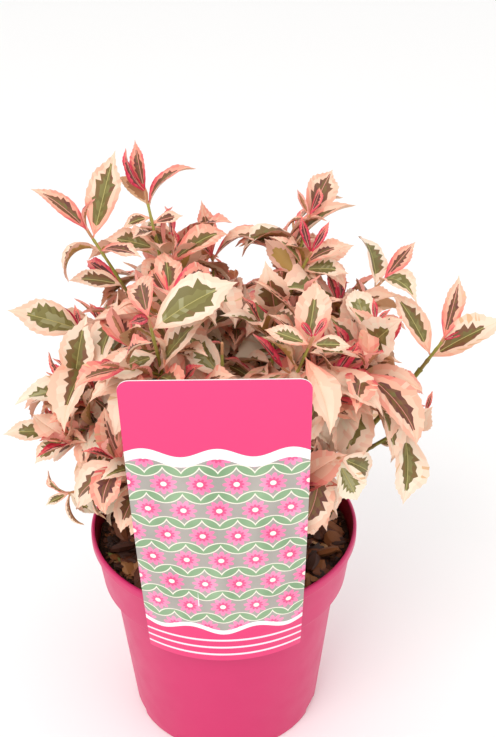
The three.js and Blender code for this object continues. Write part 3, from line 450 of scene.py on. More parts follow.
def stem_radius(height):
    """The base stem's radius at a height over the compost."""
    heights = [-STEM_SOCKET_DEPTH, -3, 7, STEM_HEIGHT]
    radii = [STEM_TOP_RADIUS, STEM_FLARE_RADIUS, STEM_TOP_RADIUS, STEM_TOP_RADIUS - 1.5]
    return np.interp(height, heights, radii)


def woody_bark(name, old, young, grain):
    """Bark that goes from brown at the foot to green wood higher up, flecked and finely cracked."""
    material, shader = finish_of(name, old, 0.75)
    nodes, links = material.node_tree.nodes, material.node_tree.links
    split = nodes.new("ShaderNodeSeparateXYZ")
    links.new(nodes.new("ShaderNodeTexCoord").outputs["Object"], split.inputs["Vector"])
    start, end = (SOIL_LEVEL + YOUNG_BARK_FROM) * MM, (SOIL_LEVEL + YOUNG_BARK_BY) * MM
    youth = nodes.new("ShaderNodeMath")
    youth.use_clamp = True
    links.new(ranged(material, split.outputs["Z"], start, end, 0, 1), youth.inputs[0])
    links.new(ranged(material, noise_of(material, 160, 6), 0.3, 0.7, -0.3, 0.3), youth.inputs[1])
    links.new(mixed(material, youth.outputs["Value"], old, young), shader.inputs["Base Color"])
    add_relief(material, noise_of(material, grain), 0.4, 0.5)
    return material


stem_heights = np.linspace(-STEM_SOCKET_DEPTH, STEM_HEIGHT, STEM_RINGS)
stem_profile = [(0, SOIL_LEVEL - STEM_SOCKET_DEPTH)]
stem_profile += [(float(stem_radius(h)), SOIL_LEVEL + h) for h in stem_heights]
stem_profile += [(STEM_TOP_RADIUS - 4, SOIL_LEVEL + STEM_HEIGHT + 0.8), (0, SOIL_LEVEL + STEM_HEIGHT + 1)]
stem_places, stem_faces = revolve(stem_profile, STEM_SIDES)
stem_turn = np.arctan2(stem_places[:, 1], stem_places[:, 0])
ridges = np.abs(np.sin(0.5 * RIDGE_COUNT * stem_turn + 0.8 * ripple(stem_places, 14, 5)))
stem_swell = 1 + (RIDGE_HEIGHT * (ridges - 0.5) + STEM_LUMP * ripple(stem_places, 7, 6)) / STEM_TOP_RADIUS
stem_places[:, :2] *= stem_swell[:, None]
old_bark = woody_bark("old bark", "4A3220", "6A4A2C", 300)
base_bark = piece_of("base_stem_bark", stem_places, stem_faces, [old_bark])
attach(base_bark, "root")
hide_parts("base_stem")

# ---- The canes and boughs
# Eleven canes spring from the base stem and fork into boughs. They are green wood, brown and
# corky at the foot, with a swollen joint and a leaf scar every few centimetres.
INNER_RING = 3.7
OUTER_RING = 9.9
CANE_ROOT_RADIUS = 2.2
BOUGH_ROOT_RADIUS = 1.9
BOUGH_TIP_RADIUS = 1.5
PATH_STEPS = 24
JOINT_GAP = 0.3
CANE_SIDES = 10
CANE_STEP = 2.5
JOINT_SPACING = 34
JOINT_SWELL = 0.34
JOINT_LENGTH = 1.7
PORE_CHANCE = 0.04
PORE_HEIGHT = 0.28
BARK_ROUGHNESS = 0.1

# Each shoot: its name, where it springs from (azimuth in degrees and ring on the base stem, or
# the bough it forks off and how far along), where its tip stands (azimuth, reach and height over
# the compost), the length that is leafy, the length of a full leaf, and the first pair's roll.
SHOOTS = [
    ("top_left", 165, INNER_RING, 152, 53, 253, 88, 50, 80),
    ("top_middle", 75, INNER_RING, 96, 60, 192, 92, 46, 20),
    ("top_right", -20, INNER_RING, 26, 64, 235, 96, 50, 75),
    ("far_right", -20, OUTER_RING, -5, 144, 166, 27, 58, 0),
    ("mid_left", 184, OUTER_RING, -174, 90, 174, 84, 55, 0),
    ("front_middle", 271, OUTER_RING, -88, 92, 208, 92, 44, 45),
    ("front_right", 312, OUTER_RING, -59, 106, 211, 90, 46, 60),
    ("rear_middle", 92, OUTER_RING, 88, 112, 138, 92, 50, 10),
    ("side_rear_left", 138, OUTER_RING, 144, 106, 138, 92, 52, 35),
    ("side_rear_right", 45, OUTER_RING, 34, 118, 130, 90, 50, 70),
    ("low_front_left", 228, OUTER_RING, -128, 104, 122, 88, 46, 25),
    ("upper_left", "top_left", 0.62, 172, 84, 232, 88, 54, 0),
    ("upper_right", "top_right", 0.6, 5, 106, 198, 92, 56, 30),
    ("middle_right", "front_right", 0.8, -52, 56, 201, 86, 46, 85),
    ("side_right", "far_right", 0.34, -28, 107, 199, 92, 50, 50),
    ("low_right", "far_right", 0.42, -17, 137, 128, 56, 50, 10),
    ("low_front_right", "front_right", 0.42, -48, 110, 122, 82, 46, 40),
    ("front_left", "low_front_left", 0.6, -112, 100, 225, 92, 48, 55),
    ("low_left", "mid_left", 0.66, -165, 98, 139, 80, 52, 15),
    ("bottom_left", "mid_left", 0.4, -158, 110, 66, 72, 50, 60),
    ("rear_right", "rear_middle", 0.6, 58, 100, 154, 88, 50, 65),
    ("rear_left", "side_rear_left", 0.6, 119, 104, 162, 88, 52, 80),
    ("low_rear_right", "side_rear_right", 0.45, 62, 132, 92, 84, 50, 30),
    ("low_rear_middle", "rear_middle", 0.4, 98, 134, 84, 84, 50, 5),
    ("low_rear_left", "side_rear_left", 0.42, 140, 130, 78, 84, 52, 50),
]
# How far a shoot bows upwards, as a share of its span: a few sag first and then turn up.
BOW = 0.1
BOWS = {"far_right": -0.34, "low_left": -0.25, "low_right": -0.1}


def polar(azimuth, reach, height):
    turn = math.radians(azimuth)
    return np.array([reach * math.cos(turn), reach * math.sin(turn), SOIL_LEVEL + height])


def shoot_path(start, tip, bowing=BOW):
    """The points of a shoot that rises first and then leans out to its tip."""
    span = tip - start
    lean = math.atan2(span[2], math.hypot(span[0], span[1]))
    bow = bowing * np.linalg.norm(span) * math.cos(lean)
    turn = (start + tip) / 2 + (0, 0, bow * math.cos(lean) + 0.3 * bow)
    t = np.linspace(0, 1, PATH_STEPS + 1)[:, None]
    return (1 - t) ** 2 * start + 2 * t * (1 - t) * turn + t**2 * tip


def path_length(points):
    return float(np.linalg.norm(np.diff(points, axis=0), axis=1).sum())


def along_path(points, distance):
    """The spot at a distance along a path, and the way the path runs there."""
    left = max(distance, 0)
    for i in range(1, len(points)):
        step = float(np.linalg.norm(points[i] - points[i - 1]))
        way = (points[i] - points[i - 1]) / step
        if left <= step or i == len(points) - 1:
            return points[i - 1] + way * min(left, step), way
        left -= step


def path_part(points, start, end, count):
    return np.array([along_path(points, d)[0] for d in np.linspace(start, end, count)])


boughs = {}
for name, foot, place, azimuth, reach, height, leafy, leaf, roll in SHOOTS:
    parent = boughs.get(foot)
    if parent:
        start = along_path(parent["points"], parent["length"] * place)[0]
    else:
        start = polar(foot, place, STEM_HEIGHT - 1)
    path = shoot_path(start, polar(azimuth, reach, height), BOWS.get(name, BOW))
    whole = path_length(path)
    boughs[name] = {
        "path": path,
        "whole": whole,
        "length": whole - leafy,
        "points": path_part(path, 0, whole - leafy, 5),
        "radius": BOUGH_ROOT_RADIUS if parent else CANE_ROOT_RADIUS,
    }


def limb(points, radii, sides):
    """Places and faces of a closed round limb along points, with a radius at each."""
    ways = np.gradient(points, axis=0)
    side = np.array([1, 0.3, 0.1])
    places = []
    turns = np.arange(sides) * 2 * math.pi / sides
    for spot, way, radius in zip(points, ways, radii):
        way = unit(way)
        side = unit(side - way * side.dot(way))
        front = np.cross(way, side)
        places.append(spot + radius * (np.cos(turns)[:, None] * side + np.sin(turns)[:, None] * front))
    faces = []
    for ring in range(len(points) - 1):
        low, high = ring * sides, ring * sides + sides
        for j in range(sides):
            k = (j + 1) % sides
            faces.append((low + j, low + k, high + k, high + j))
    last = (len(points) - 1) * sides
    faces += [tuple(range(sides - 1, -1, -1)), tuple(range(last, last + sides))]
    return np.concatenate(places), faces


def gathered(parts):
    """Several parts, each (places, faces, slots), as one."""
    places, faces, slots, base = [], [], [], 0
    for part_places, part_faces, part_slots in parts:
        places.append(part_places)
        faces += [tuple(v + base for v in face) for face in part_faces]
        slots += list(part_slots)
        base += len(part_places)
    return np.concatenate(places), faces, slots


def cane_limb(bough, seed):
    """One bough's bark: joints, corky ridges and a few raised pores."""
    dice = np.random.default_rng(seed)
    count = max(int(bough["length"] / CANE_STEP), 6)
    points = path_part(bough["path"], 0, bough["length"] + JOINT_GAP, count)
    along = np.linspace(0, bough["length"], count)
    radii = np.linspace(bough["radius"], BOUGH_TIP_RADIUS, count)
    from_joint = np.abs((along + dice.uniform(0, JOINT_SPACING)) % JOINT_SPACING - JOINT_SPACING / 2)
    radii *= 1 + JOINT_SWELL * np.exp(-((from_joint / JOINT_LENGTH) ** 2))
    places, faces = limb(points, radii, CANE_SIDES)
    middle = np.repeat(points, CANE_SIDES, axis=0)
    pores = (dice.random(len(places)) < PORE_CHANCE) * PORE_HEIGHT
    ridge = BARK_ROUGHNESS * ripple(places * (1, 1, 0.25), 1.6, seed) + pores
    outward = (places - middle) / np.linalg.norm(places - middle, axis=1)[:, None]
    return places + outward * ridge[:, None], faces, [0] * len(faces)


canes = gathered([cane_limb(bough, 300 + i) for i, bough in enumerate(boughs.values())])
cane_finish = woody_bark("cane bark", "6A4426", "8C8C34", 900)
cane_piece = piece_of("canes_and_boughs", *canes[:2], [cane_finish], crease=60)
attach(cane_piece, "root")
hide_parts(*[f"bough_{name}" for name in boughs])

# ---- The twigs
# Each bough runs on as a soft green leader that bears leaves in crossed pairs. Side twigs, and
# finer ones off those, spring from the axils. Every draw is seeded, so the plant is always the same.
FORKS = [
    ("top_left", 0.3, 122, 62, 206, 30),
    ("top_middle", 0.25, 25, 34, 192, 60),
    ("top_right", 0.35, -10, 58, 226, 85),
    ("upper_right", 0.2, 30, 96, 164, 20),
    ("low_left", 0.2, -172, 118, 98, 70),
    ("front_left", 0.2, -129, 47, 210, 10),
]
TWIG_ROOT_RADIUS = 1.35
TWIG_TIP_RADIUS = 0.8
PAIR_STEPS = [3, 9, 19, 34, 52, 72, 94]
PAIR_SIZES = [0.58, 0.84, 1.06, 1.14, 1.1, 1.05, 1]
PAIR_ANGLES = [13, 44, 60, 68, 74, 78, 80]
SIDE_TWIG_CHANCE = 0.46
SIDE_TWIG_SHIFT = 5
SIDE_TWIG_FIRST_PAIR = 3
SIDE_TWIG_REACH = (24, 40)
SIDE_TWIG_SPREAD = (38, 58)
SIDE_TWIG_SHARE = 0.84
SIDE_TWIG_RISE = 0.22
BARE_FOOT = 7
SPACE_MARGIN = 0.7
LEAF_MARGIN = 2
LEAF_GROWTH = 1.1
LIMB_MARGIN = 2.4
LEAF_WIDTH_SHARE = 0.46
LEAF_SEED = 1907
LEAF_ROLL_PLAY = (-14, 14)
LEAF_TILT_PLAY = (-9, 9)
LEAF_SIZE_PLAY = (0.86, 1.1)
LEAF_SAG = (0.05, 0.5)
LEAF_CURL = (0.35, 1.15)
LEAF_FOLD = (0.15, 0.5)
LEAF_SLIMNESS = (0.9, 1.1)
LEAF_FACE_LEAN = 0.15
LEAST_CURL = 0.01
BUD_SAGS = [-0.5, -0.2]
BUD_CURL = (-0.1, 0.25)
BUD_FOLD = (0.5, 0.8)
BUD_SLIMNESS = 0.66
CARD_WIDTH = 107.5
CARD_HEIGHT = 239
CARD_FOOT = 111
CARD_LEAN = math.radians(7)
CARD_CENTRE_X = 1.4
CARD_WRAP_RADIUS = 96
CARD_GAP = 0.4
TONGUE_WIDTH = 30

# How far leaves and twigs keep from the compost, the rim, and the card with its tongue.
SOIL_CLEARANCE = 4
RIM_CLEARANCE = 3
RIM_INNER_CLEARANCE = 5
CARD_CLEARANCE = 3
CARD_SIDE_CLEARANCE = 4
TONGUE_ROOM_HEIGHT = 30
TONGUE_ROOM_DEPTH = 16
UP = np.array([0, 0, 1.0])


def card_back(z):
    """The middle of the label's back at a height: it rests on the rim and leans outwards."""
    return -(BEAD_RADIUS + CARD_GAP) - math.tan(CARD_LEAN) * (z - POT_HEIGHT + 3)


def card_bend(rise):
    """How sharply the label bends round the pot at a share of its rise."""
    return np.maximum(1 - rise, 0) ** 1.3 / CARD_WRAP_RADIUS + 1e-5


def card_wrap(across, z):
    bend = card_bend((z - CARD_FOOT) / CARD_HEIGHT)
    return (1 - np.cos(across * bend)) / bend


chains = {}
for name, foot, place, azimuth, reach, height, leafy, leaf, roll in SHOOTS:
    bough = boughs[name]
    leader = path_part(bough["path"], bough["length"] + JOINT_GAP, bough["whole"], 4)
    chains[name] = [(leader, roll)]
    for within, at, fork_azimuth, fork_reach, fork_height, fork_roll in FORKS:
        if within == name:
            fork_foot = along_path(leader, leafy * at)[0]
            branch = shoot_path(fork_foot, polar(fork_azimuth, fork_reach, fork_height))
            chains[name].append((path_part(branch, 0, path_length(branch), 4), fork_roll))


def segments_of(lines):
    """The starts and spans of all segments of some lines, and each line's first segment."""
    starts = np.concatenate([line[:-1] for line in lines])
    spans = np.concatenate([np.diff(line, axis=0) for line in lines])
    firsts = np.cumsum([0] + [len(line) - 1 for line in lines[:-1]])
    return starts, spans, firsts


def distances(spots, segments):
    """The distance from each spot to each line."""
    starts, spans, firsts = segments
    offset = spots[:, None, :] - starts
    share = np.clip((offset * spans).sum(2) / (spans * spans).sum(1), 0, 1)
    far = np.linalg.norm(offset - share[:, :, None] * spans, axis=2)
    return np.minimum.reduceat(far, firsts, axis=1)


# The leaves that show most, each set on its leader. Each has its mass, which of the
# mass's leaders bears it and how far from the tip, the way its own tip points and the way it
# faces (azimuth and rise of each), its length, its curl and its age, from 0 in the bud.
LEADING_LEAVES = [
    ("top_left", 0, 1, 115, 70, 33, 240, 10, 0.3, 1),
    ("top_left", 0, 1, 150, 60, 31, 230, 10, 0.9, 0),
    ("top_left", 0, 10, 165, 40, 29, 100, 20, 1.5, 2),
    ("top_left", 0, 10, 20, 35, 42, 200, 45, 1.3, 1),
    ("top_left", 0, 18, -165, -15, 20, -100, 60, 0.9, 3),
    ("top_left", 0, 30, -110, 20, 36, -100, 60, 0.5, 2),
    ("top_left", 0, 22, 10, 10, 21, -80, 50, 0.8, 2),
    ("upper_left", 0, 1, 175, 40, 45, -80, 70, 0.6, 1),
    ("upper_left", 0, 1, 60, 65, 23, 180, 30, 1.3, 0),
    ("upper_left", 0, 7, 50, 65, 57, -100, 25, 0.1, 2),
    ("upper_left", 0, 16, -150, -35, 39, 175, 40, 2.6, 4),
    ("upper_left", 0, 16, -40, 10, 38, -80, 60, 0.7, 1),
    ("top_left", 0, 40, -180, 15, 36, -90, 60, 0.5, 4),
    ("upper_left", 0, 42, 135, 5, 40, -90, 50, 0.4, 0),
    ("upper_left", 0, 44, -175, 10, 36, -100, 70, 0.5, 3),
    ("top_middle", 0, 1, 115, 65, 39, -75, 20, 0.05, 1),
    ("top_middle", 0, 3, 10, 20, 52, 180, 70, 1.3, 1),
    ("top_middle", 0, 3, 170, 30, 37, 0, 70, 1.2, 2),
    ("top_right", 0, 1, 140, 55, 19, 90, 0, 0.5, 0),
    ("top_right", 0, 1, 70, 25, 27, -60, 20, 0.4, 0),
    ("top_right", 0, 5, 70, 20, 54, -80, 30, 0.05, 2),
    ("top_right", 0, 5, -175, -15, 16, 180, 60, 1.9, 2),
    ("top_right", 0, 20, -175, -10, 48, 170, 70, 1.9, 4),
    ("top_right", 1, 1, 125, 60, 24, -100, 20, 0.3, 0),
    ("top_right", 1, 1, 30, 55, 23, -80, 30, 0.5, 0),
    ("top_right", 1, 14, 5, 25, 30, -90, 55, 1, 2),
    ("top_right", 1, 22, -5, 0, 31, -80, 60, 0.8, 3),
    ("top_right", 1, 30, 155, 45, 34, 90, -10, 0.6, 3),
    ("top_right", 1, 20, 160, 40, 31, 160, 60, 1.1, 2),
    ("middle_right", 0, 1, -105, 65, 48, -90, 30, 0.2, 3),
    ("middle_right", 0, 2, -145, 45, 18, -90, 40, 0.2, 0),
    ("upper_right", 0, 8, 100, 25, 48, -60, 5, 0.7, 4),
    ("upper_right", 0, 1, 40, 35, 34, -90, 30, 0.2, 1),
    ("upper_right", 0, 4, -55, 0, 40, -60, 40, 1.9, 3),
    ("far_right", 0, 1, 55, 65, 43, -90, 10, 0.2, 1),
    ("far_right", 0, 1, 0, 25, 15, -90, 30, 0.3, 0),
    ("far_right", 0, 17, 0, 30, 58, -90, 55, 0.8, 2),
    ("far_right", 0, 15, 140, 50, 50, -60, 45, 0.3, 2),
    ("side_right", 0, 1, 100, 60, 15, -90, 20, 0.2, 0),
    ("side_right", 0, 1, 20, 40, 12, -90, 50, 0.3, 0),
    ("side_right", 0, 12, 5, 25, 23, -90, 60, 0.6, 3),
    ("side_right", 0, 12, 105, 25, 38, -90, 45, 0.4, 4),
    ("side_right", 0, 30, -60, 50, 54, -90, 40, 0.3, 5),
    ("low_right", 0, 1, 60, 55, 15, -90, 20, 0.2, 0),
    ("low_right", 0, 20, -65, 50, 40, -90, 30, 0.3, 6),
    ("low_right", 0, 22, -95, -55, 52, -60, 35, 1.1, 6),
    ("low_right", 0, 45, -10, 0, 11, -90, 60, 0.4, 4),
    ("low_front_right", 0, 1, 40, -40, 40, -80, 40, 0.5, 5),
    ("low_front_right", 0, 4, 5, -65, 38, -80, 30, 0.3, 6),
    ("mid_left", 0, 3, -165, 25, 50, -90, 50, 0.4, 4),
    ("mid_left", 0, 1, 120, 60, 16, -90, 10, 0.2, 0),
    ("mid_left", 0, 1, 165, 40, 25, -90, 60, 0.3, 0),
    ("low_left", 0, 1, -35, 75, 60, -100, 20, 0.3, 2),
    ("low_left", 0, 2, 155, 50, 30, 190, 30, 0.6, 0),
    ("low_left", 0, 10, -165, 0, 47, -90, 80, 1.2, 4),
    ("low_left", 1, 8, -170, 5, 37, -90, 60, 0.4, 3),
    ("low_left", 1, 2, 105, 60, 19, -60, 30, 0.6, 0),
    ("low_left", 1, 16, -145, -30, 33, -90, 60, 0.5, 4),
    ("low_left", 0, 30, -75, -5, 50, -90, 20, 0.4, 6),
    ("bottom_left", 0, 1, 155, 40, 23, 200, 20, 1.5, 1),
    ("bottom_left", 0, 1, -55, -50, 26, 190, 20, 1.3, 2),
    ("bottom_left", 0, 1, -155, -15, 18, -90, 60, 0.4, 2),
    ("bottom_left", 0, 1, -25, -35, 22, -80, 60, 0.5, 6),
    ("bottom_left", 0, 34, -100, 35, 44, -90, 50, 0.5, 5),
    ("front_left", 0, 1, 100, 10, 44, -100, 30, 0.2, 2),
    ("front_left", 0, 1, -110, 20, 26, -90, 30, 0.2, 0),
    ("front_left", 0, 12, 15, 25, 58, -100, 50, 0.9, 4),
    ("front_left", 0, 34, -165, -15, 33, -90, 40, 0.8, 6),
    ("front_left", 1, 1, 115, 10, 34, -90, 40, 0.4, 1),
    ("front_left", 1, 1, 95, 15, 44, -80, 20, 0.2, 2),
    ("front_left", 1, 1, 55, 5, 44, -70, 60, 0.6, 1),
    ("front_middle", 0, 34, 150, 45, 36, -100, 30, 0.2, 6),
    ("front_right", 0, 1, 110, 5, 18, -90, 30, 0.2, 0),
    ("front_right", 0, 1, 60, 20, 18, -90, 30, 0.2, 0),
    ("front_right", 0, 8, 170, 15, 28, -90, 55, 0.5, 3),
    ("front_right", 0, 8, -5, 0, 24, -90, 55, 0.6, 3),
]
LEADING_WIDTHS = [0.6, 0.75, 0.88, 0.98, 1.08, 1.1, 1.15]
LEADING_FOLD = 0.35
LEADING_BUD_FOLD = 0.55
LEADING_SPACING = 8


def heading(azimuth, rise):
    turn, lift = math.radians(azimuth), math.radians(rise)
    return np.array([math.cos(turn) * math.cos(lift), math.sin(turn) * math.cos(lift), math.sin(lift)])


def leading_leaf(name, line, step, azimuth, rise, length, face_azimuth, face_rise, curl, age):
    chain = chains[name][line][0]
    root = along_path(chain, path_length(chain) - step)[0]
    aim, face = heading(azimuth, rise), heading(face_azimuth, face_rise)
    face = unit(face - aim * face.dot(aim))
    out = aim * math.cos(curl / 2) + face * math.sin(curl / 2)
    up = face * math.cos(curl / 2) - aim * math.sin(curl / 2)
    width = length * LEAF_WIDTH_SHARE * LEADING_WIDTHS[age]
    fold = LEADING_FOLD if age else LEADING_BUD_FOLD
    leaf = {"root": root, "out": out, "up": up, "length": length, "width": width, "curl": curl}
    leaf |= {"fold": fold, "pair": age, "level": 0, "roll": None, "leading": True}
    return leaf | {"line": line, "step": step}


def midrib_spot(leaf, t):
    turn = leaf["curl"] * t
    swing = leaf["out"] * math.sin(turn) - leaf["up"] * (1 - math.cos(turn))
    return leaf["root"] + swing * leaf["length"] / leaf["curl"]


leading = {name: [leading_leaf(*row) for row in LEADING_LEAVES if row[0] == name] for name in chains}
axes = {
    name: [chain for chain, _ in chains[name]]
    + [np.array([midrib_spot(leaf, t) for t in (0, 0.5, 1)]) for leaf in leading[name]]
    for name in chains
}
mass_names = list(chains)
bough_segments = segments_of([bough["points"] for bough in boughs.values()])
bough_radii = np.array([bough["radius"] for bough in boughs.values()])
axis_segments = segments_of([line for name in mass_names for line in axes[name]])
axis_firsts = np.cumsum([0] + [len(axes[name]) for name in mass_names[:-1]])


# Where the crown is open: round slots that fan out from a point high in front of the plant. Each
# has its place across, its height and its radius, where it passes over the pot's middle.
SLOT_FAN = np.array([18, -648, 665])
OPEN_SLOTS = np.array([
    (-87, 427, 13),
    (-56, 401, 9),
    (-21, 410, 9),
    (27, 406, 21),
    (22, 361, 11),
    (81, 387, 12),
    (85, 362, 8),
    (134, 362, 15),
    (133, 332, 8),
    (123, 302, 10),
    (166, 277, 19),
    (165, 227, 18),
    (112, 194, 14),
    (-98, 342, 6),
    (-78, 339, 6),
    (-133, 289, 12),
    (-117, 378, 14),
    (-124, 354, 13),
    (-144, 200, 14),
    (-84, 132, 14),
    (81, 133, 13),
    (-124, 137, 16),
    (-19, 397, 8),
    (129, 285, 6),
    (-114, 200, 10),
    (138, 279, 7),
    (7, 367, 6),
])


def in_open_slot(spots):
    """True for spots in the crown's open slots."""
    share = SLOT_FAN[1] / (SLOT_FAN[1] - spots[:, 1])
    x, _, z = (SLOT_FAN + (spots - SLOT_FAN) * share[:, None]).T
    from_slots = np.hypot(x[:, None] - OPEN_SLOTS[:, 0], z[:, None] - OPEN_SLOTS[:, 1])
    return (from_slots < OPEN_SLOTS[:, 2]).any(axis=1)


def clear_of_rest(spots, limb_margin):
    """True for spots clear of the pot, compost, label and boughs."""
    x, y, z = spots.T
    radius = np.hypot(x, y)
    within_rim = radius < BEAD_RADIUS + RIM_CLEARANCE
    shut = (z < SOIL_LEVEL + SOIL_CLEARANCE) & (within_rim | (z < SOIL_LEVEL))
    by_rim = within_rim & (radius > BEAD_INNER_RADIUS - RIM_INNER_CLEARANCE)
    shut |= by_rim & (z < POT_HEIGHT + SOIL_CLEARANCE)
    behind = np.abs(x - CARD_CENTRE_X) < CARD_WIDTH / 2 + CARD_SIDE_CLEARANCE
    back = card_back(z)
    shut |= behind & (y < back + card_wrap(x - CARD_CENTRE_X, z) + CARD_CLEARANCE)
    by_tongue = (z < POT_HEIGHT + TONGUE_ROOM_HEIGHT) & (y < back + TONGUE_ROOM_DEPTH)
    shut |= behind & by_tongue & (np.abs(x) < TONGUE_WIDTH / 2 + CARD_CLEARANCE)
    return ~shut & (distances(spots, bough_segments) >= bough_radii + limb_margin).all(axis=1)


def is_free(spots, mass, limb_margin):
    """True for spots in the mass's own space, clear of everything else."""
    to_masses = np.minimum.reduceat(distances(spots, axis_segments), axis_firsts, axis=1)
    index = mass_names.index(mass)
    others = np.delete(to_masses, index, axis=1).min(axis=1)
    return (others >= to_masses[:, index] + SPACE_MARGIN) & clear_of_rest(spots, limb_margin)


def make_dice(seed):
    """Seeded draws, from 0 to 1."""
    state = seed
    while True:
        state = state * 16807 % 2147483647
        yield state / 2147483647


def turned(way, axis, angle):
    """A way turned about an axis."""
    around = way * math.cos(angle) + np.cross(axis, way) * math.sin(angle)
    return around + axis * axis.dot(way) * (1 - math.cos(angle))


# A leaf's outline: shares of its length, and its width there as a share of the widest.
LEAF_OUTLINE = [(0.16, 0.5), (0.3, 0.92), (0.45, 1), (0.6, 0.84), (0.78, 0.42), (1, 0)]
SPOT_COLUMNS = [-1, -0.5, 0, 0.5, 1]
SPOT_SHARES = np.array([(t, across * width / 2) for t, width in LEAF_OUTLINE for across in SPOT_COLUMNS])


def leaf_spots(leaf):
    """Spots all over a leaf's blade, to test where it lies."""
    t, across = SPOT_SHARES[:, :1], SPOT_SHARES[:, 1:] * leaf["width"]
    curl = leaf["curl"]
    turn = curl * t
    reach = t if curl < LEAST_CURL else np.sin(turn) / curl
    drop = 0 * t if curl < LEAST_CURL else (1 - np.cos(turn)) / curl
    face = leaf["up"] * np.cos(turn) + leaf["out"] * np.sin(turn)
    side = np.cross(leaf["out"], leaf["up"])
    middle = leaf["root"] + (leaf["out"] * reach - leaf["up"] * drop) * leaf["length"]
    return middle + side * across * math.cos(leaf["fold"]) + face * np.abs(across) * math.sin(leaf["fold"])


# The ways that a leaf is tried in turn: its size, and how it swings and lifts, in degrees.
LEAF_TRIES = [
    (1, 0, 0), (1, 20, 6), (1, -20, 6), (0.95, 0, -20), (0.9, 40, 14), (0.9, -40, 14),
    (0.85, 0, 20), (0.8, 60, 0), (0.8, -60, 0), (0.7, 20, -30), (0.7, -20, -30),
]


def axes_round(way):
    """The level way and the upper way across a twig."""
    flat = np.cross(UP, way)
    if np.linalg.norm(flat) < 0.1:
        flat = np.array([0, -1.0, 0])
    flat = unit(flat)
    return flat, np.cross(way, flat)


class Mass:
    """One mass as it grows: its twigs, its leaves, and the test of what it may still add."""

    def __init__(self, name, full_leaf, seed):
        self.name, self.full_leaf = name, full_leaf
        self.dice = make_dice(seed)
        self.twigs, self.leaves, self.taken = [], [], np.zeros((0, 3))

    def between(self, low, high):
        return low + (high - low) * next(self.dice)

    def add_leading(self, leaf):
        spots = leaf_spots(leaf)
        if is_free(spots, self.name, LIMB_MARGIN).all():
            self.leaves.append(leaf)
            self.taken = np.concatenate([self.taken, spots])

    def fits(self, spots):
        if in_open_slot(spots).any() or not is_free(spots, self.name, LIMB_MARGIN).all():
            return False
        gaps = np.linalg.norm(spots[:, None, :] - self.taken, axis=2)
        return not (gaps < LEAF_MARGIN).any()

    def add_leaf(self, root, way, roll, pair, full_length, level):
        """A leaf, in the first of the ways that has room for it."""
        flat, above = axes_round(way)
        aim = math.radians(roll + self.between(*LEAF_ROLL_PLAY))
        outward = flat * math.cos(aim) + above * math.sin(aim)
        tilt = PAIR_ANGLES[pair] + self.between(*LEAF_TILT_PLAY)
        length = LEAF_GROWTH * full_length * PAIR_SIZES[pair] * self.between(*LEAF_SIZE_PLAY)
        sag = BUD_SAGS[pair] if pair < len(BUD_SAGS) else self.between(*LEAF_SAG)
        curl = abs(self.between(*(LEAF_CURL if pair else BUD_CURL)))
        fold = self.between(*(LEAF_FOLD if pair else BUD_FOLD))
        slim = self.between(*LEAF_SLIMNESS) if pair else BUD_SLIMNESS
        for trim, swing, lift in LEAF_TRIES:
            angle = math.radians(tilt + lift)
            facing = turned(outward, way, math.radians(swing))
            out = unit(way * math.cos(angle) + facing * math.sin(angle) - UP * sag)
            up = way + UP - LEAF_FACE_LEAN * facing
            up = unit(up - out * up.dot(out))
            size = length * trim
            width = size * LEAF_WIDTH_SHARE * slim
            leaf = {"root": root, "out": out, "up": up, "length": size, "width": width, "curl": curl}
            leaf |= {"fold": fold, "pair": pair, "level": level, "roll": roll, "leading": False}
            spots = leaf_spots(leaf)
            if self.fits(spots):
                self.leaves.append(leaf)
                self.taken = np.concatenate([self.taken, spots])
                return

    def add_twig(self, chain, roll, level, taken_length=0):
        """A twig, its pairs of leaves clear of the leading ones, and its side twigs."""
        length = path_length(chain)
        self.twigs.append({"chain": chain, "level": level, "roll": roll, "taken_length": taken_length})
        for pair in range(level, len(PAIR_STEPS)):
            if PAIR_STEPS[pair] < taken_length:
                continue
            start = length - PAIR_STEPS[pair] + (SIDE_TWIG_SHIFT if level else 0)
            if start < BARE_FOOT:
                break
            spot, way = along_path(chain, start)
            for half_turn in (0, 180):
                angle = roll + 90 * pair + half_turn
                size = self.full_leaf * (SIDE_TWIG_SHARE if level else 1)
                self.add_leaf(spot, way, angle, pair, size, level)
                sprouts = next(self.dice) < SIDE_TWIG_CHANCE
                reach = self.between(*SIDE_TWIG_REACH)
                spread = math.radians(self.between(*SIDE_TWIG_SPREAD))
                if level or pair < SIDE_TWIG_FIRST_PAIR or not sprouts:
                    continue
                flat = unit(np.cross(UP, way))
                turn = math.radians(angle)
                outward = flat * math.cos(turn) + np.cross(way, flat) * math.sin(turn)
                aim = way * math.cos(spread) + outward * math.sin(spread)
                side = np.array([spot, spot + aim * reach + UP * SIDE_TWIG_RISE * reach])
                spots = path_part(side, 5, reach, 6)
                if not in_open_slot(spots).any() and is_free(spots, self.name, TWIG_ROOT_RADIUS + 1).all():
                    self.add_twig(side, angle + 90, 1)


masses = {}
for index, shoot in enumerate(SHOOTS):
    name, full_leaf = shoot[0], shoot[7]
    mass = Mass(name, full_leaf, LEAF_SEED + 97 * index)
    for leaf in leading[name]:
        mass.add_leading(leaf)
    for line, (chain, roll) in enumerate(chains[name]):
        steps = [leaf["step"] + LEADING_SPACING for leaf in leading[name] if leaf["line"] == line]
        mass.add_twig(chain, roll, 0, max(steps, default=0))
    masses[name] = mass

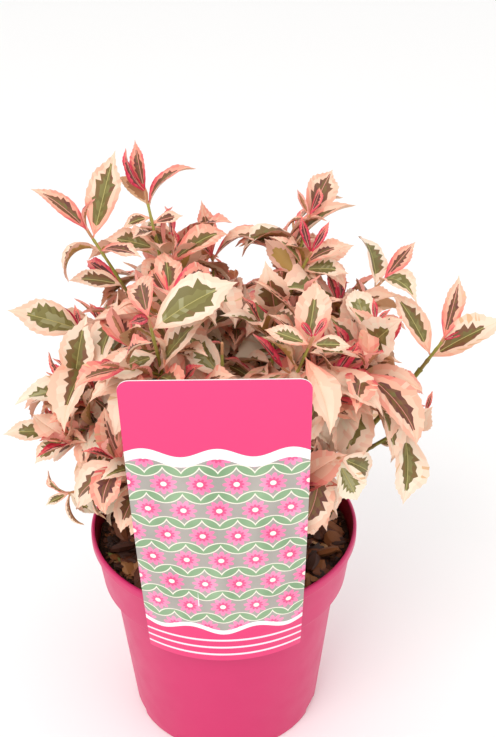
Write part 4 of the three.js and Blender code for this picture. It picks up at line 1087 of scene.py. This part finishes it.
# Finer growth than the solids have: leaves that cross into the next mass's space where it has
# room, and short shoots from the axils. A coarse grid of the crown marks where leaves are.
FINE_SEED = 4211
FINE_LEAF_SHARE = 0.92
FINE_BUD_STEPS = [24, 40, 56, 74]
FINE_CHANCE = 0.3
FINE_PAIR_STEPS = [1.5, 8]
FINE_REACH = (12, 26)
FINE_SPREAD = (34, 60)
FINE_ROLL_PLAY = (-25, 25)
FINE_RISE = 0.15
FINE_LEAST_START = 2
FINE_CLEARANCE = 1.3
CROWD_CELL = 2.6
CROWD_ALLOWED = 1
CROWD_BORDER = 20
REACH_ALLOWED = 2
cad_low, cad_high = (np.array(corner) / MM for corner in cad_box)
crown_low, crown_high = cad_low - REACH_ALLOWED, cad_high + REACH_ALLOWED
crowd_origin = cad_low - CROWD_BORDER
crowd_shape = ((cad_high + CROWD_BORDER - crowd_origin) / CROWD_CELL).astype(int) + 2
crowd = np.zeros(crowd_shape, dtype=bool)


def crowd_cells(spots):
    cells = ((spots - crowd_origin) / CROWD_CELL).astype(int)
    return tuple(np.clip(cells, 0, crowd_shape - 1).T)


for mass in masses.values():
    crowd[crowd_cells(mass.taken)] = True


class FineGrowth(Mass):
    """The finer growth of a mass."""

    def fits(self, spots):
        inside = (spots > crown_low).all() and (spots < crown_high).all()
        if not inside or in_open_slot(spots).any() or not clear_of_rest(spots, FINE_CLEARANCE).all():
            return False
        if crowd[crowd_cells(spots)].sum() > CROWD_ALLOWED:
            return False
        crowd[crowd_cells(spots)] = True
        return True

    def fill_pairs(self, mass, twig):
        """Tries again the leaves that the mass had no room for."""
        length = path_length(twig["chain"])
        for pair in range(twig["level"], len(PAIR_STEPS)):
            start = length - PAIR_STEPS[pair] + (SIDE_TWIG_SHIFT if twig["level"] else 0)
            if PAIR_STEPS[pair] < twig["taken_length"]:
                continue
            if start < FINE_LEAST_START:
                break
            spot, way = along_path(twig["chain"], start)
            for half_turn in (0, 180):
                roll = twig["roll"] + 90 * pair + half_turn
                same_turn = [leaf["root"] for leaf in mass.leaves if leaf["roll"] == roll]
                if not any(np.allclose(root, spot) for root in same_turn):
                    self.add_leaf(spot, way, roll, pair, mass.full_leaf, 1)

    def add_shoot(self, spot, way, angle):
        """A short shoot from an axil, with a bud and a pair of leaves."""
        flat, above = axes_round(way)
        turn = math.radians(angle + self.between(*FINE_ROLL_PLAY))
        spread = math.radians(self.between(*FINE_SPREAD))
        outward = flat * math.cos(turn) + above * math.sin(turn)
        reach = self.between(*FINE_REACH)
        aim = unit(way * math.cos(spread) + outward * math.sin(spread) + UP * FINE_RISE)
        side = np.array([spot, spot + aim * reach])
        spots = path_part(side, 4, reach, 5)
        shut = in_open_slot(spots).any() or not clear_of_rest(spots, FINE_CLEARANCE).all()
        if next(self.dice) > FINE_CHANCE or shut:
            return
        before = len(self.leaves)
        size = self.full_leaf * FINE_LEAF_SHARE
        for pair, step in enumerate(FINE_PAIR_STEPS):
            for half_turn in (0, 180):
                roll = angle + 45 + 90 * pair + half_turn
                self.add_leaf(spot + aim * (reach - step), aim, roll, pair, size, 2)
        if len(self.leaves) > before:
            self.twigs.append({"chain": side, "level": 2, "roll": angle, "taken_length": 0})


fine = {}
for index, (name, mass) in enumerate(masses.items()):
    growth = FineGrowth(name, mass.full_leaf, FINE_SEED + 89 * index)
    for twig in mass.twigs:
        length = path_length(twig["chain"])
        if twig["level"]:
            bud_spot, bud_way = along_path(twig["chain"], length - 1)
            for half_turn in (0, 180):
                growth.add_leaf(bud_spot, bud_way, twig["roll"] + half_turn, 0, mass.full_leaf, 1)
        growth.fill_pairs(mass, twig)
        for step_index, step in enumerate(FINE_BUD_STEPS):
            if step < twig["taken_length"]:
                continue
            if length - step < FINE_LEAST_START:
                break
            spot, way = along_path(twig["chain"], length - step)
            for half_turn in (0, 180):
                growth.add_shoot(spot, way, twig["roll"] + 90 * step_index + half_turn)
    fine[name] = growth


TWIG_COLOURS = ["6E4A28", "7F6E30", "8E8C38", "A3A04C", "C28C62"]
TWIG_ROOT_SHARES = [1, 0.8, 0.6]
TWIG_TIP_SHARES = [1, 0.9, 0.75]
TWIG_PIECE_SIDES = 6
TWIG_POINT_STEP = 4
NODE_SWELL = 0.3
NODE_LENGTH = 1.3
TWIG_SEED = 700


def twig_part(twig, seed):
    """One twig, swollen at its nodes, brown or olive at its root and rosy at its tip."""
    dice = np.random.default_rng(seed)
    length = path_length(twig["chain"])
    count = max(int(length / TWIG_POINT_STEP), 3) * 2
    along = np.linspace(0, length, count)
    root = TWIG_ROOT_RADIUS * TWIG_ROOT_SHARES[twig["level"]]
    tip = TWIG_TIP_RADIUS * TWIG_TIP_SHARES[twig["level"]]
    radii = np.linspace(root, tip, count)
    for step in PAIR_STEPS:
        radii *= 1 + NODE_SWELL * np.exp(-(((along - length + step) / NODE_LENGTH) ** 2))
    places, faces = limb(path_part(twig["chain"], 0, length, count), radii, TWIG_PIECE_SIDES)
    first = 1 + twig["level"] * 0.8 + dice.uniform(-0.5, 0.5)
    tints = np.interp(along, [0, 0.55 * length, length], [first, first + 1, 4])
    slots = [int(round(t)) for t in tints[:-1] for _ in range(TWIG_PIECE_SIDES)] + [int(first), 4]
    return places, faces, slots


all_twigs = [twig for group in (masses, fine) for mass in group.values() for twig in mass.twigs]
twig_parts = gathered([twig_part(twig, TWIG_SEED + i) for i, twig in enumerate(all_twigs)])
twig_finishes = [finish_of(f"twig {i}", code, 0.55)[0] for i, code in enumerate(TWIG_COLOURS)]
twig_piece = piece_of("leafy_twigs", *twig_parts[:2], twig_finishes, twig_parts[2], crease=60)
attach(twig_piece, "root")

# ---- The leaves
# Soft, thin leaves with a drawn-out tip and a toothed edge, folded along the midrib and curled
# back. The youngest are crimson; they open coral, then pink and cream round a jagged dark blotch.
LEAF_ROWS = 20
PETIOLE_HALF_WIDTH = 0.55
PETIOLE_SHARE = 0.07
RIB_HALF_WIDTH = 0.28
BLADE_THICKNESS = 0.38
RIB_THICKNESS = 0.75
TOOTH_DEPTH = 0.03
TOOTH_FORWARD = 0.35
VEIN_SLANT = 0.15
QUILT_HEIGHT = 0.03
RIB_DIP = 0.15
RIB_CLEAR = 0.16
CORE_SHARE = 0.48
TIP_OVERRUN = 1.15

# A leaf's hook at its tip, its bend sideways and its twist, in radians, from least to most. The
# leading leaves have less of each, to keep their places.
LEAST_PLAY = (0, -0.35, -0.5)
MOST_PLAY = (1.1, 0.35, 0.5)
LEADING_CALM = 0.6
WAVE_HEIGHTS = (0.01, 0.055)
WAVE_COUNTS = (1.1, 1.9)
MARGIN_COLOURS = [
    "BE2844", "DA4056", "E6686A", "EE8878", "F29E88", "F3B398", "F4C4A9", "F5D0B6", "F4D9C1", "F2E1C8",
]
BLOTCH_COLOURS = ["602C32", "704036", "7C5238", "7E6239", "776C3B", "857D48", "A09A6E"]
RIB_COLOURS = ["BDB274", "DE9A8E"]
UNDER_COLOURS = ["EFA595", "F2C4AC", "F0CFB2", "E2B68C"]
UNDER_BLOTCH_COLOURS = ["AA7650", "C09C58", "C2B68C"]
BLOTCH_FIRST = len(MARGIN_COLOURS)
RIB_FIRST = BLOTCH_FIRST + len(BLOTCH_COLOURS)
UNDER_FIRST = RIB_FIRST + len(RIB_COLOURS)
UNDER_BLOTCH_FIRST = UNDER_FIRST + len(UNDER_COLOURS)

# How a leaf's colours go with its age, by its pair from the tip: the margin's colour at its
# root, middle and tip, the first and last of its blotch's colours, and the blotch's breadth.
AGES = [
    ((0.6, 2.2, 3.6), (0, 1), 0.42),
    ((2, 4.8, 5.8), (1, 2.5), 0.45),
    ((4.2, 6.5, 6.6), (1.4, 3.8), 0.5),
    ((5.6, 7.2, 6.6), (2.2, 4.4), 0.54),
    ((6.4, 7.6, 6.9), (2.8, 4.8), 0.54),
    ((6.7, 8, 7.2), (2.8, 5), 0.48),
    ((6.7, 8.2, 7.4), (3.2, 5.6), 0.44),
]

# How many colours paler a leaf's margin is by its height over the compost, and by chance.
FADE_HEIGHTS = [30, 130, 230]
FADE_STEPS = [1.6, 0.9, -0.2]
FADE_SPREAD = 0.7

# How a blotch's breadth varies, and the chance that a leaf has none.
LEADING_BREADTHS = (0.9, 1.4)
BREADTHS = (0.5, 1.25)
PLAIN_CHANCE = 0.22
BLOTCH_START = (0.08, 0.16)
BLOTCH_END = (0.68, 0.88)
BLOTCH_LOBES = (0.68, 1.2)
LEAST_BLOTCH = 0.14
MOST_BLOTCH = 0.84
MOTTLE = 0.24

# A leaf's columns: eleven across its upper side, and three more under it.
UPPER = 11
COLUMNS = UPPER + 3
UNDER_ORDER = [0, 11, 12, 13, 10]
leaf_tip = LEAF_ROWS * COLUMNS
leaf_faces, face_rows, face_columns = [(*UNDER_ORDER, *range(UPPER - 2, 0, -1))], [0], [4]
for row in range(LEAF_ROWS):
    low, high = row * COLUMNS, (row + 1) * COLUMNS
    last = row == LEAF_ROWS - 1
    for c in range(UPPER - 1):
        ahead = (leaf_tip,) if last else (high + c + 1, high + c)
        leaf_faces.append((low + c, low + c + 1, *ahead))
        face_columns.append(c)
    for c in range(4):
        a, b = UNDER_ORDER[c], UNDER_ORDER[c + 1]
        leaf_faces.append((low + a, leaf_tip, low + b) if last else (low + a, high + a, high + b, low + b))
        face_columns.append(UPPER - 1 + c)
    face_rows += [row] * (UPPER + 3)
face_rows, face_columns = np.array(face_rows), np.array(face_columns)
face_right = np.isin(face_columns, [5, 6, 7, 8, 9, 12, 13]).astype(int)

row_shares = np.arange(LEAF_ROWS) / LEAF_ROWS
blade_shares = np.clip((row_shares - PETIOLE_SHARE) / (1 - PETIOLE_SHARE), 0, 1)
tip_narrowing = 1 - 0.6 * np.clip((blade_shares - 0.55) / 0.45, 0, 1) ** 1.1
blade_outline = np.sin(math.pi * blade_shares**0.64) ** 0.9 * tip_narrowing
row_parity = np.where(np.arange(LEAF_ROWS) % 2, 1, -1)
tooth_rows = np.where((blade_shares > 0.1) & (blade_shares < 0.92), row_parity, 0)


def leaf_shape(leaf, blotch, dice):
    """The places of one leaf's mesh; blotch is the blotch's breadth by row and side."""
    length, fold = leaf["length"], leaf["fold"]
    half = np.maximum(blade_outline * leaf["width"] / 2, PETIOLE_HALF_WIDTH)
    half[blade_shares > 0.9] = blade_outline[blade_shares > 0.9] * leaf["width"] / 2
    hook, bend, twist = (1 - LEADING_CALM * leaf["leading"]) * dice.uniform(LEAST_PLAY, MOST_PLAY)
    turn = leaf["curl"] * row_shares + hook * np.clip((row_shares - 0.5) / 0.5, 0, 1) ** 2
    sway, roll = (bend * row_shares**2)[:, None], (twist * row_shares)[:, None]
    across = np.cross(leaf["out"], leaf["up"])
    ahead = leaf["out"] * np.cos(turn)[:, None] - leaf["up"] * np.sin(turn)[:, None]
    face = leaf["up"] * np.cos(turn)[:, None] + leaf["out"] * np.sin(turn)[:, None]
    side = across * np.cos(sway) - ahead * np.sin(sway)
    ahead = ahead * np.cos(sway) + across * np.sin(sway)
    side, face = side * np.cos(roll) + face * np.sin(roll), face * np.cos(roll) - side * np.sin(roll)
    step = length / LEAF_ROWS
    along = np.cumsum(ahead[:-1] + ahead[1:], axis=0) * step / 2
    middle = leaf["root"] + np.concatenate([[(0, 0, 0)], along])

    rib = np.minimum(RIB_HALF_WIDTH / half, 0.3)
    inner = np.maximum(blotch, (rib + RIB_CLEAR)[:, None])
    outer = (1 + inner) / 2
    core = rib[:, None] + (inner - rib[:, None]) * CORE_SHARE
    edge, zero = np.ones(LEAF_ROWS), np.zeros(LEAF_ROWS)
    left = [-edge, -outer[:, 0], -inner[:, 0], -core[:, 0], -rib]
    right = [rib, core[:, 1], inner[:, 1], outer[:, 1], edge]
    shares = np.stack(left + [zero] + right + [-inner[:, 0], zero, inner[:, 1]], axis=1)
    far = np.abs(shares)
    lift = half[:, None] * math.sin(fold) * far * (1.25 - 0.45 * far)
    wave = dice.uniform(*WAVE_HEIGHTS) * length * blade_outline
    phases = dice.uniform(0, 2 * math.pi, 2)
    turns = 2 * math.pi * dice.uniform(*WAVE_COUNTS) * row_shares[:, None]
    swing = np.where(shares < 0, phases[0], phases[1]) + turns
    lift += wave[:, None] * np.sin(swing) * far**2
    lift += QUILT_HEIGHT * half[:, None] * tooth_rows[:, None] * np.sin(math.pi * far)
    lift[:, UPPER // 2] -= RIB_DIP
    thickness = np.where(row_shares < PETIOLE_SHARE, 1.0, BLADE_THICKNESS)
    lift[:, UPPER:] -= thickness[:, None]
    lift[:, UPPER + 1] -= np.where(row_shares < PETIOLE_SHARE, 0.1, RIB_THICKNESS - BLADE_THICKNESS)
    spread = shares * half[:, None] * math.cos(fold)
    spread[:, [0, UPPER - 1]] *= (1 + TOOTH_DEPTH * tooth_rows)[:, None]
    forward = VEIN_SLANT * length * blade_outline[:, None] * far
    forward[:, [0, UPPER - 1]] += (TOOTH_FORWARD * step * (tooth_rows > 0))[:, None]
    places = middle[:, None, :] + side[:, None, :] * spread[:, :, None] + face[:, None, :] * lift[:, :, None]
    places = places + ahead[:, None, :] * forward[:, :, None]
    tip = middle[-1] + ahead[-1] * step * TIP_OVERRUN
    return np.concatenate([places.reshape(-1, 3), [tip]])


def leaf_paint(leaf, dice):
    """The colour of each face of one leaf, and the breadth of its blotch by row and side."""
    pair = leaf["pair"] + (leaf["level"] > 1 and leaf["pair"] > 0)
    margin, tones, breadth = AGES[min(pair, len(AGES) - 1)]
    height = leaf["root"][2] - SOIL_LEVEL
    fade = np.interp(height, FADE_HEIGHTS, FADE_STEPS) * min(leaf["pair"], 2) / 2
    fade = fade + dice.normal(0, FADE_SPREAD)
    start, end = dice.uniform(*BLOTCH_START), dice.uniform(*BLOTCH_END)
    within = np.clip((row_shares - start) / (end - start), 0, 1)
    size = breadth * dice.uniform(*(LEADING_BREADTHS if leaf["leading"] else BREADTHS))
    if not leaf["leading"] and dice.random() <= PLAIN_CHANCE:
        size = 0
    lobes = dice.uniform(*BLOTCH_LOBES, (LEAF_ROWS, 2)) * (1 + 0.13 * row_parity)[:, None]
    blotch = np.clip(size * np.sin(math.pi * within)[:, None] ** 0.5 * lobes, 0, MOST_BLOTCH)
    blotched = blotch > LEAST_BLOTCH
    tone = dice.uniform(*tones)
    base = np.interp(row_shares, [0.05, 0.45, 1], margin) + fade
    rim = np.where(np.isin(face_columns, [0, UPPER - 2]), -1, 0)
    mottle = dice.normal(0, MOTTLE, len(leaf_faces))
    slots = np.clip(np.round(base[face_rows] + rim + mottle), 0, len(MARGIN_COLOURS) - 1).astype(int)
    shows = blotched[face_rows, face_right]
    for columns, shift in (([2, 7], -0.3), ([3, 6], 0.9)):
        dark = shows & np.isin(face_columns, columns)
        shade = np.clip(np.round(tone + shift + 1.6 * mottle), 0, len(BLOTCH_COLOURS) - 1)
        slots[dark] = BLOTCH_FIRST + shade[dark].astype(int)
    slots[shows & np.isin(face_columns, [4, 5])] = RIB_FIRST + (tone < 2.4)
    under = 0 if base[LEAF_ROWS // 2] < 3.5 else int(dice.choice([1, 1, 2, 3]))
    slots[face_columns > UPPER - 2] = UNDER_FIRST + under
    slots[shows & np.isin(face_columns, [UPPER, UPPER + 1])] = UNDER_BLOTCH_FIRST + min(int(tone / 2.4), 2)
    return slots, blotch


LEAF_PAINT_SEED = 9000
leaf_finishes = []
for kind, codes in {
    "margin": MARGIN_COLOURS,
    "blotch": BLOTCH_COLOURS,
    "rib": RIB_COLOURS,
    "under": UNDER_COLOURS,
    "under blotch": UNDER_BLOTCH_COLOURS,
}.items():
    for i, code in enumerate(codes):
        leaf_finish, leaf_shader = finish_of(f"leaf {kind} {i}", code, 0.46)
        leaf_shader.inputs["Specular IOR Level"].default_value = 0.35
        leaf_finishes.append(leaf_finish)

for index, name in enumerate(masses):
    dice = np.random.default_rng(LEAF_PAINT_SEED + index)
    parts = []
    for leaf in masses[name].leaves + fine[name].leaves:
        paint, blotch = leaf_paint(leaf, dice)
        parts.append((leaf_shape(leaf, blotch, dice), leaf_faces, paint))
    foliage_parts = gathered(parts)
    foliage = piece_of(f"foliage_{name}", *foliage_parts[:2], leaf_finishes, foliage_parts[2], crease=70)
    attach(foliage, "root")
    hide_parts(f"leaves_{name}")

# ---- The label
# One flexible printed card, bent round the pot at its foot and nearly flat at its head. A tongue
# cut from its back folds over the rim and holds it. The print is a plain pattern of flowers.
CARD_THICKNESS = 0.8
CARD_TURN = math.radians(0.5)
CARD_CORNER = 7
CARD_COLUMNS = 48
CARD_ROWS = 72
TONGUE_THICKNESS = 0.9
CORNER_COLUMNS = 8


def rotated(a, b, angle):
    """Two coordinates, turned in their own plane."""
    return a * math.cos(angle) - b * math.sin(angle), b * math.cos(angle) + a * math.sin(angle)


def card_place(across, rise, offset):
    """A place on the card, from where it is across it, its share of the rise, and how far back."""
    past = np.maximum(np.abs(across) - (CARD_WIDTH / 2 - CARD_CORNER), 0)
    up = rise * (CARD_HEIGHT - CARD_CORNER + np.sqrt(CARD_CORNER**2 - past**2))
    bend = card_bend(rise)
    x, y, z = np.sin(across * bend) / bend, offset + (1 - np.cos(across * bend)) / bend, up
    x, z = rotated(x, z, CARD_TURN)
    y, z = rotated(y, z, CARD_LEAN)
    return np.stack([x + CARD_CENTRE_X, y + card_back(CARD_FOOT), z + CARD_FOOT], axis=-1), up


corner_steps = CARD_CORNER * (1 - np.cos(np.linspace(0, math.pi / 2, CORNER_COLUMNS)))
left_edge = -CARD_WIDTH / 2 + corner_steps
middle_columns = np.linspace(left_edge[-1], -left_edge[-1], CARD_COLUMNS)[1:-1]
card_across = np.concatenate([left_edge, middle_columns, -left_edge[::-1]])
card_grid = np.meshgrid(card_across, np.linspace(0, 1, CARD_ROWS + 1))
front_places, front_up = card_place(*card_grid, -CARD_THICKNESS)
back_places, _ = card_place(*card_grid, 0.0)
wide, tall = len(card_across), CARD_ROWS + 1
card_places = np.concatenate([front_places.reshape(-1, 3), back_places.reshape(-1, 3)])
card_faces, card_slots = [], []
behind = wide * tall
for r in range(tall - 1):
    for c in range(wide - 1):
        a = r * wide + c
        card_faces.append((a, a + 1, a + wide + 1, a + wide))
        card_faces.append((behind + a, behind + a + wide, behind + a + wide + 1, behind + a + 1))
        card_slots += [0, 1]
edge = list(range(wide)) + [r * wide + wide - 1 for r in range(1, tall)]
edge += [(tall - 1) * wide + c for c in range(wide - 2, -1, -1)] + [r * wide for r in range(tall - 2, 0, -1)]
for a, b in zip(edge, edge[1:] + edge[:1]):
    card_faces.append((a, a + behind, b + behind, b))
    card_slots.append(1)

# The tongue's side view, from its root on the card's back to its end inside the pot.
tongue_fold = POT_HEIGHT + 0.9
tongue_inside = -(BEAD_INNER_RADIUS - 4.3)
tongue_line = [(card_back(tongue_fold + z) + 0.5, tongue_fold + z) for z in (24, 16, 8, 3)]
tongue_line += [(card_back(tongue_fold) + 1.3, tongue_fold + 0.4), (tongue_inside - 3, tongue_fold + 0.5)]
tongue_line += [(tongue_inside - 0.8, tongue_fold), (tongue_inside, tongue_fold - 1.6)]
tongue_line.append((tongue_inside, SOIL_LEVEL + 5))
tongue_points = np.array([(0, y, z) for y, z in tongue_line])
tongue_ways = np.gradient(tongue_points, axis=0)
tongue_normals = np.cross(tongue_ways, (1, 0, 0))
tongue_normals *= TONGUE_THICKNESS / 2 / np.linalg.norm(tongue_normals, axis=1)[:, None]
tongue_places, tongue_faces = [], []
for spot, normal in zip(tongue_points, tongue_normals):
    for x, n in ((-1, 1), (1, 1), (1, -1), (-1, -1)):
        tongue_places.append(spot + (x * TONGUE_WIDTH / 2, 0, 0) + n * normal)
for r in range(len(tongue_points) - 1):
    for c in range(4):
        a, b = 4 * r + c, 4 * r + (c + 1) % 4
        tongue_faces.append((a, b, b + 4, a + 4))
tongue_end = 4 * len(tongue_points) - 4
tongue_faces += [(3, 2, 1, 0), tuple(range(tongue_end, tongue_end + 4))]


class Ink:
    """A number worked out in the print's shader, so that sums of them read as plain sums."""

    def __init__(self, tree, value):
        self.tree, self.value = tree, value

    def sum_of(self, operation, *others):
        node = self.tree.nodes.new("ShaderNodeMath")
        node.operation = operation
        for socket, part in zip(node.inputs, (self, *others)):
            if isinstance(part, Ink):
                self.tree.links.new(part.value, socket)
            else:
                socket.default_value = part
        return Ink(self.tree, node.outputs["Value"])

    def __add__(self, other):
        return self.sum_of("ADD", other)

    def __sub__(self, other):
        return self.sum_of("SUBTRACT", other)

    def __mul__(self, other):
        return self.sum_of("MULTIPLY", other)

    def __truediv__(self, other):
        return self.sum_of("DIVIDE", other)

    def __gt__(self, other):
        return self.sum_of("GREATER_THAN", other)

    def __lt__(self, other):
        return self.sum_of("LESS_THAN", other)


FLOWER_SPACING = 21.5
FLOWER_RADIUS = 8.4
PETALS = 5
HEADER_FOOT = 186
BAND_TOP = 30


def print_finish():
    """The card's print: a wavy header, rows of plain flowers and leaves, and a striped foot."""
    material, shader = finish_of("label print", "F23F86", 0.3)
    tree = material.node_tree
    split = tree.nodes.new("ShaderNodeSeparateXYZ")
    tree.links.new(tree.nodes.new("ShaderNodeUVMap").outputs["UV"], split.inputs["Vector"])
    x = Ink(tree, split.outputs["X"]) * CARD_WIDTH
    y = Ink(tree, split.outputs["Y"]) * CARD_HEIGHT

    def inked(share, under, over):
        return mixed(material, share.value, under, over)

    def flowers(x, y):
        """Where the petals, their deeper hearts and their eyes lie, in rows set half a step apart."""
        row = (y / FLOWER_SPACING).sum_of("FLOOR")
        shifted = x / FLOWER_SPACING + (row * 0.5).sum_of("FRACT")
        across = (shifted.sum_of("FRACT") - 0.5) * FLOWER_SPACING
        along = ((y / FLOWER_SPACING).sum_of("FRACT") - 0.5) * FLOWER_SPACING
        radius = (across * across + along * along).sum_of("SQRT")
        angle = along.sum_of("ARCTAN2", across) * PETALS + row * 1.7 + shifted.sum_of("FLOOR") * 2.3
        petal = (angle.sum_of("COSINE").sum_of("ABSOLUTE") * 0.36 + 0.64) * FLOWER_RADIUS
        return petal > radius, petal * 0.55 > radius, radius < 1.9

    def leaf_pairs(x, y):
        """Where the plain leaves and their pale rims lie, slanting between the flowers."""
        row = (y / FLOWER_SPACING + 0.5).sum_of("FLOOR")
        across = ((x / FLOWER_SPACING + (row * 0.5).sum_of("FRACT")).sum_of("FRACT") - 0.5) * FLOWER_SPACING
        along = ((y / FLOWER_SPACING + 0.5).sum_of("FRACT") - 0.5) * FLOWER_SPACING
        ahead = (across.sum_of("ABSOLUTE") - 5.2) * 0.8 + along * 0.6
        aside = ((across.sum_of("ABSOLUTE") - 5.2) * -0.6 + along * 0.8).sum_of("ABSOLUTE")
        bulge = (ahead * ahead) * -0.045 + 3.4
        return bulge > aside, bulge - 0.9 > aside

    rim, blade = leaf_pairs(x, y)
    petals, hearts, eyes = flowers(x, y)
    noise = tree.nodes.new("ShaderNodeTexNoise")
    noise.inputs["Scale"].default_value = 5
    tree.links.new(split.inputs["Vector"].links[0].from_socket, noise.inputs["Vector"])
    cloud = Ink(tree, noise.outputs["Fac"])
    picture = inked(cloud, "8E8A84", "BDB6AE")
    picture = inked(blade, inked(rim, picture, "EFE9D8"), inked(cloud, "5F8A5C", "A4C09A"))
    picture = inked(petals, picture, inked(cloud, "F0428A", "F9B4D2"))
    picture = inked(hearts, picture, inked(cloud, "D81F66", "F06FA6"))
    picture = inked(eyes, picture, "FFF4E6")
    edge_wave = (x * (2 * math.pi / (CARD_WIDTH / 2.5))).sum_of("SINE") * 3.2
    header = inked(y / CARD_HEIGHT, "D81A60", "EE3679")
    stripes = ((y * 0.14).sum_of("FRACT") > 0.74) * (y < BAND_TOP - 8)
    foot = inked(stripes, "E42E72", "FBE3EC")
    print_colour = inked(y > edge_wave + HEADER_FOOT - 8, picture, "FBF6F4")
    print_colour = inked(y > edge_wave + HEADER_FOOT, print_colour, header)
    print_colour = inked(edge_wave * -1 + BAND_TOP + 4 > y, print_colour, "FBF6F4")
    print_colour = inked(edge_wave * -1 + BAND_TOP > y, print_colour, foot)
    tree.links.new(print_colour, shader.inputs["Base Color"])
    return material


card_part = (card_places, card_faces, card_slots)
tongue_part = (np.array(tongue_places), tongue_faces, [1] * len(tongue_faces))
label_parts = gathered([card_part, tongue_part])
label_finishes = [print_finish(), finish_of("label back", "F4F1EE", 0.4)[0]]
label = piece_of("label_card", *label_parts[:2], label_finishes, label_parts[2], crease=30)
print_places = label.data.uv_layers.new(name="print")
card_spots = np.stack([card_grid[0] / CARD_WIDTH + 0.5, front_up / CARD_HEIGHT], axis=-1)
card_spots = card_spots.reshape(-1, 2)
spots = np.concatenate([card_spots, card_spots, np.zeros((len(tongue_places), 2))])
for loop in label.data.loops:
    print_places.data[loop.index].uv = spots[loop.vertex_index]
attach(label, "root")
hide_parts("label")
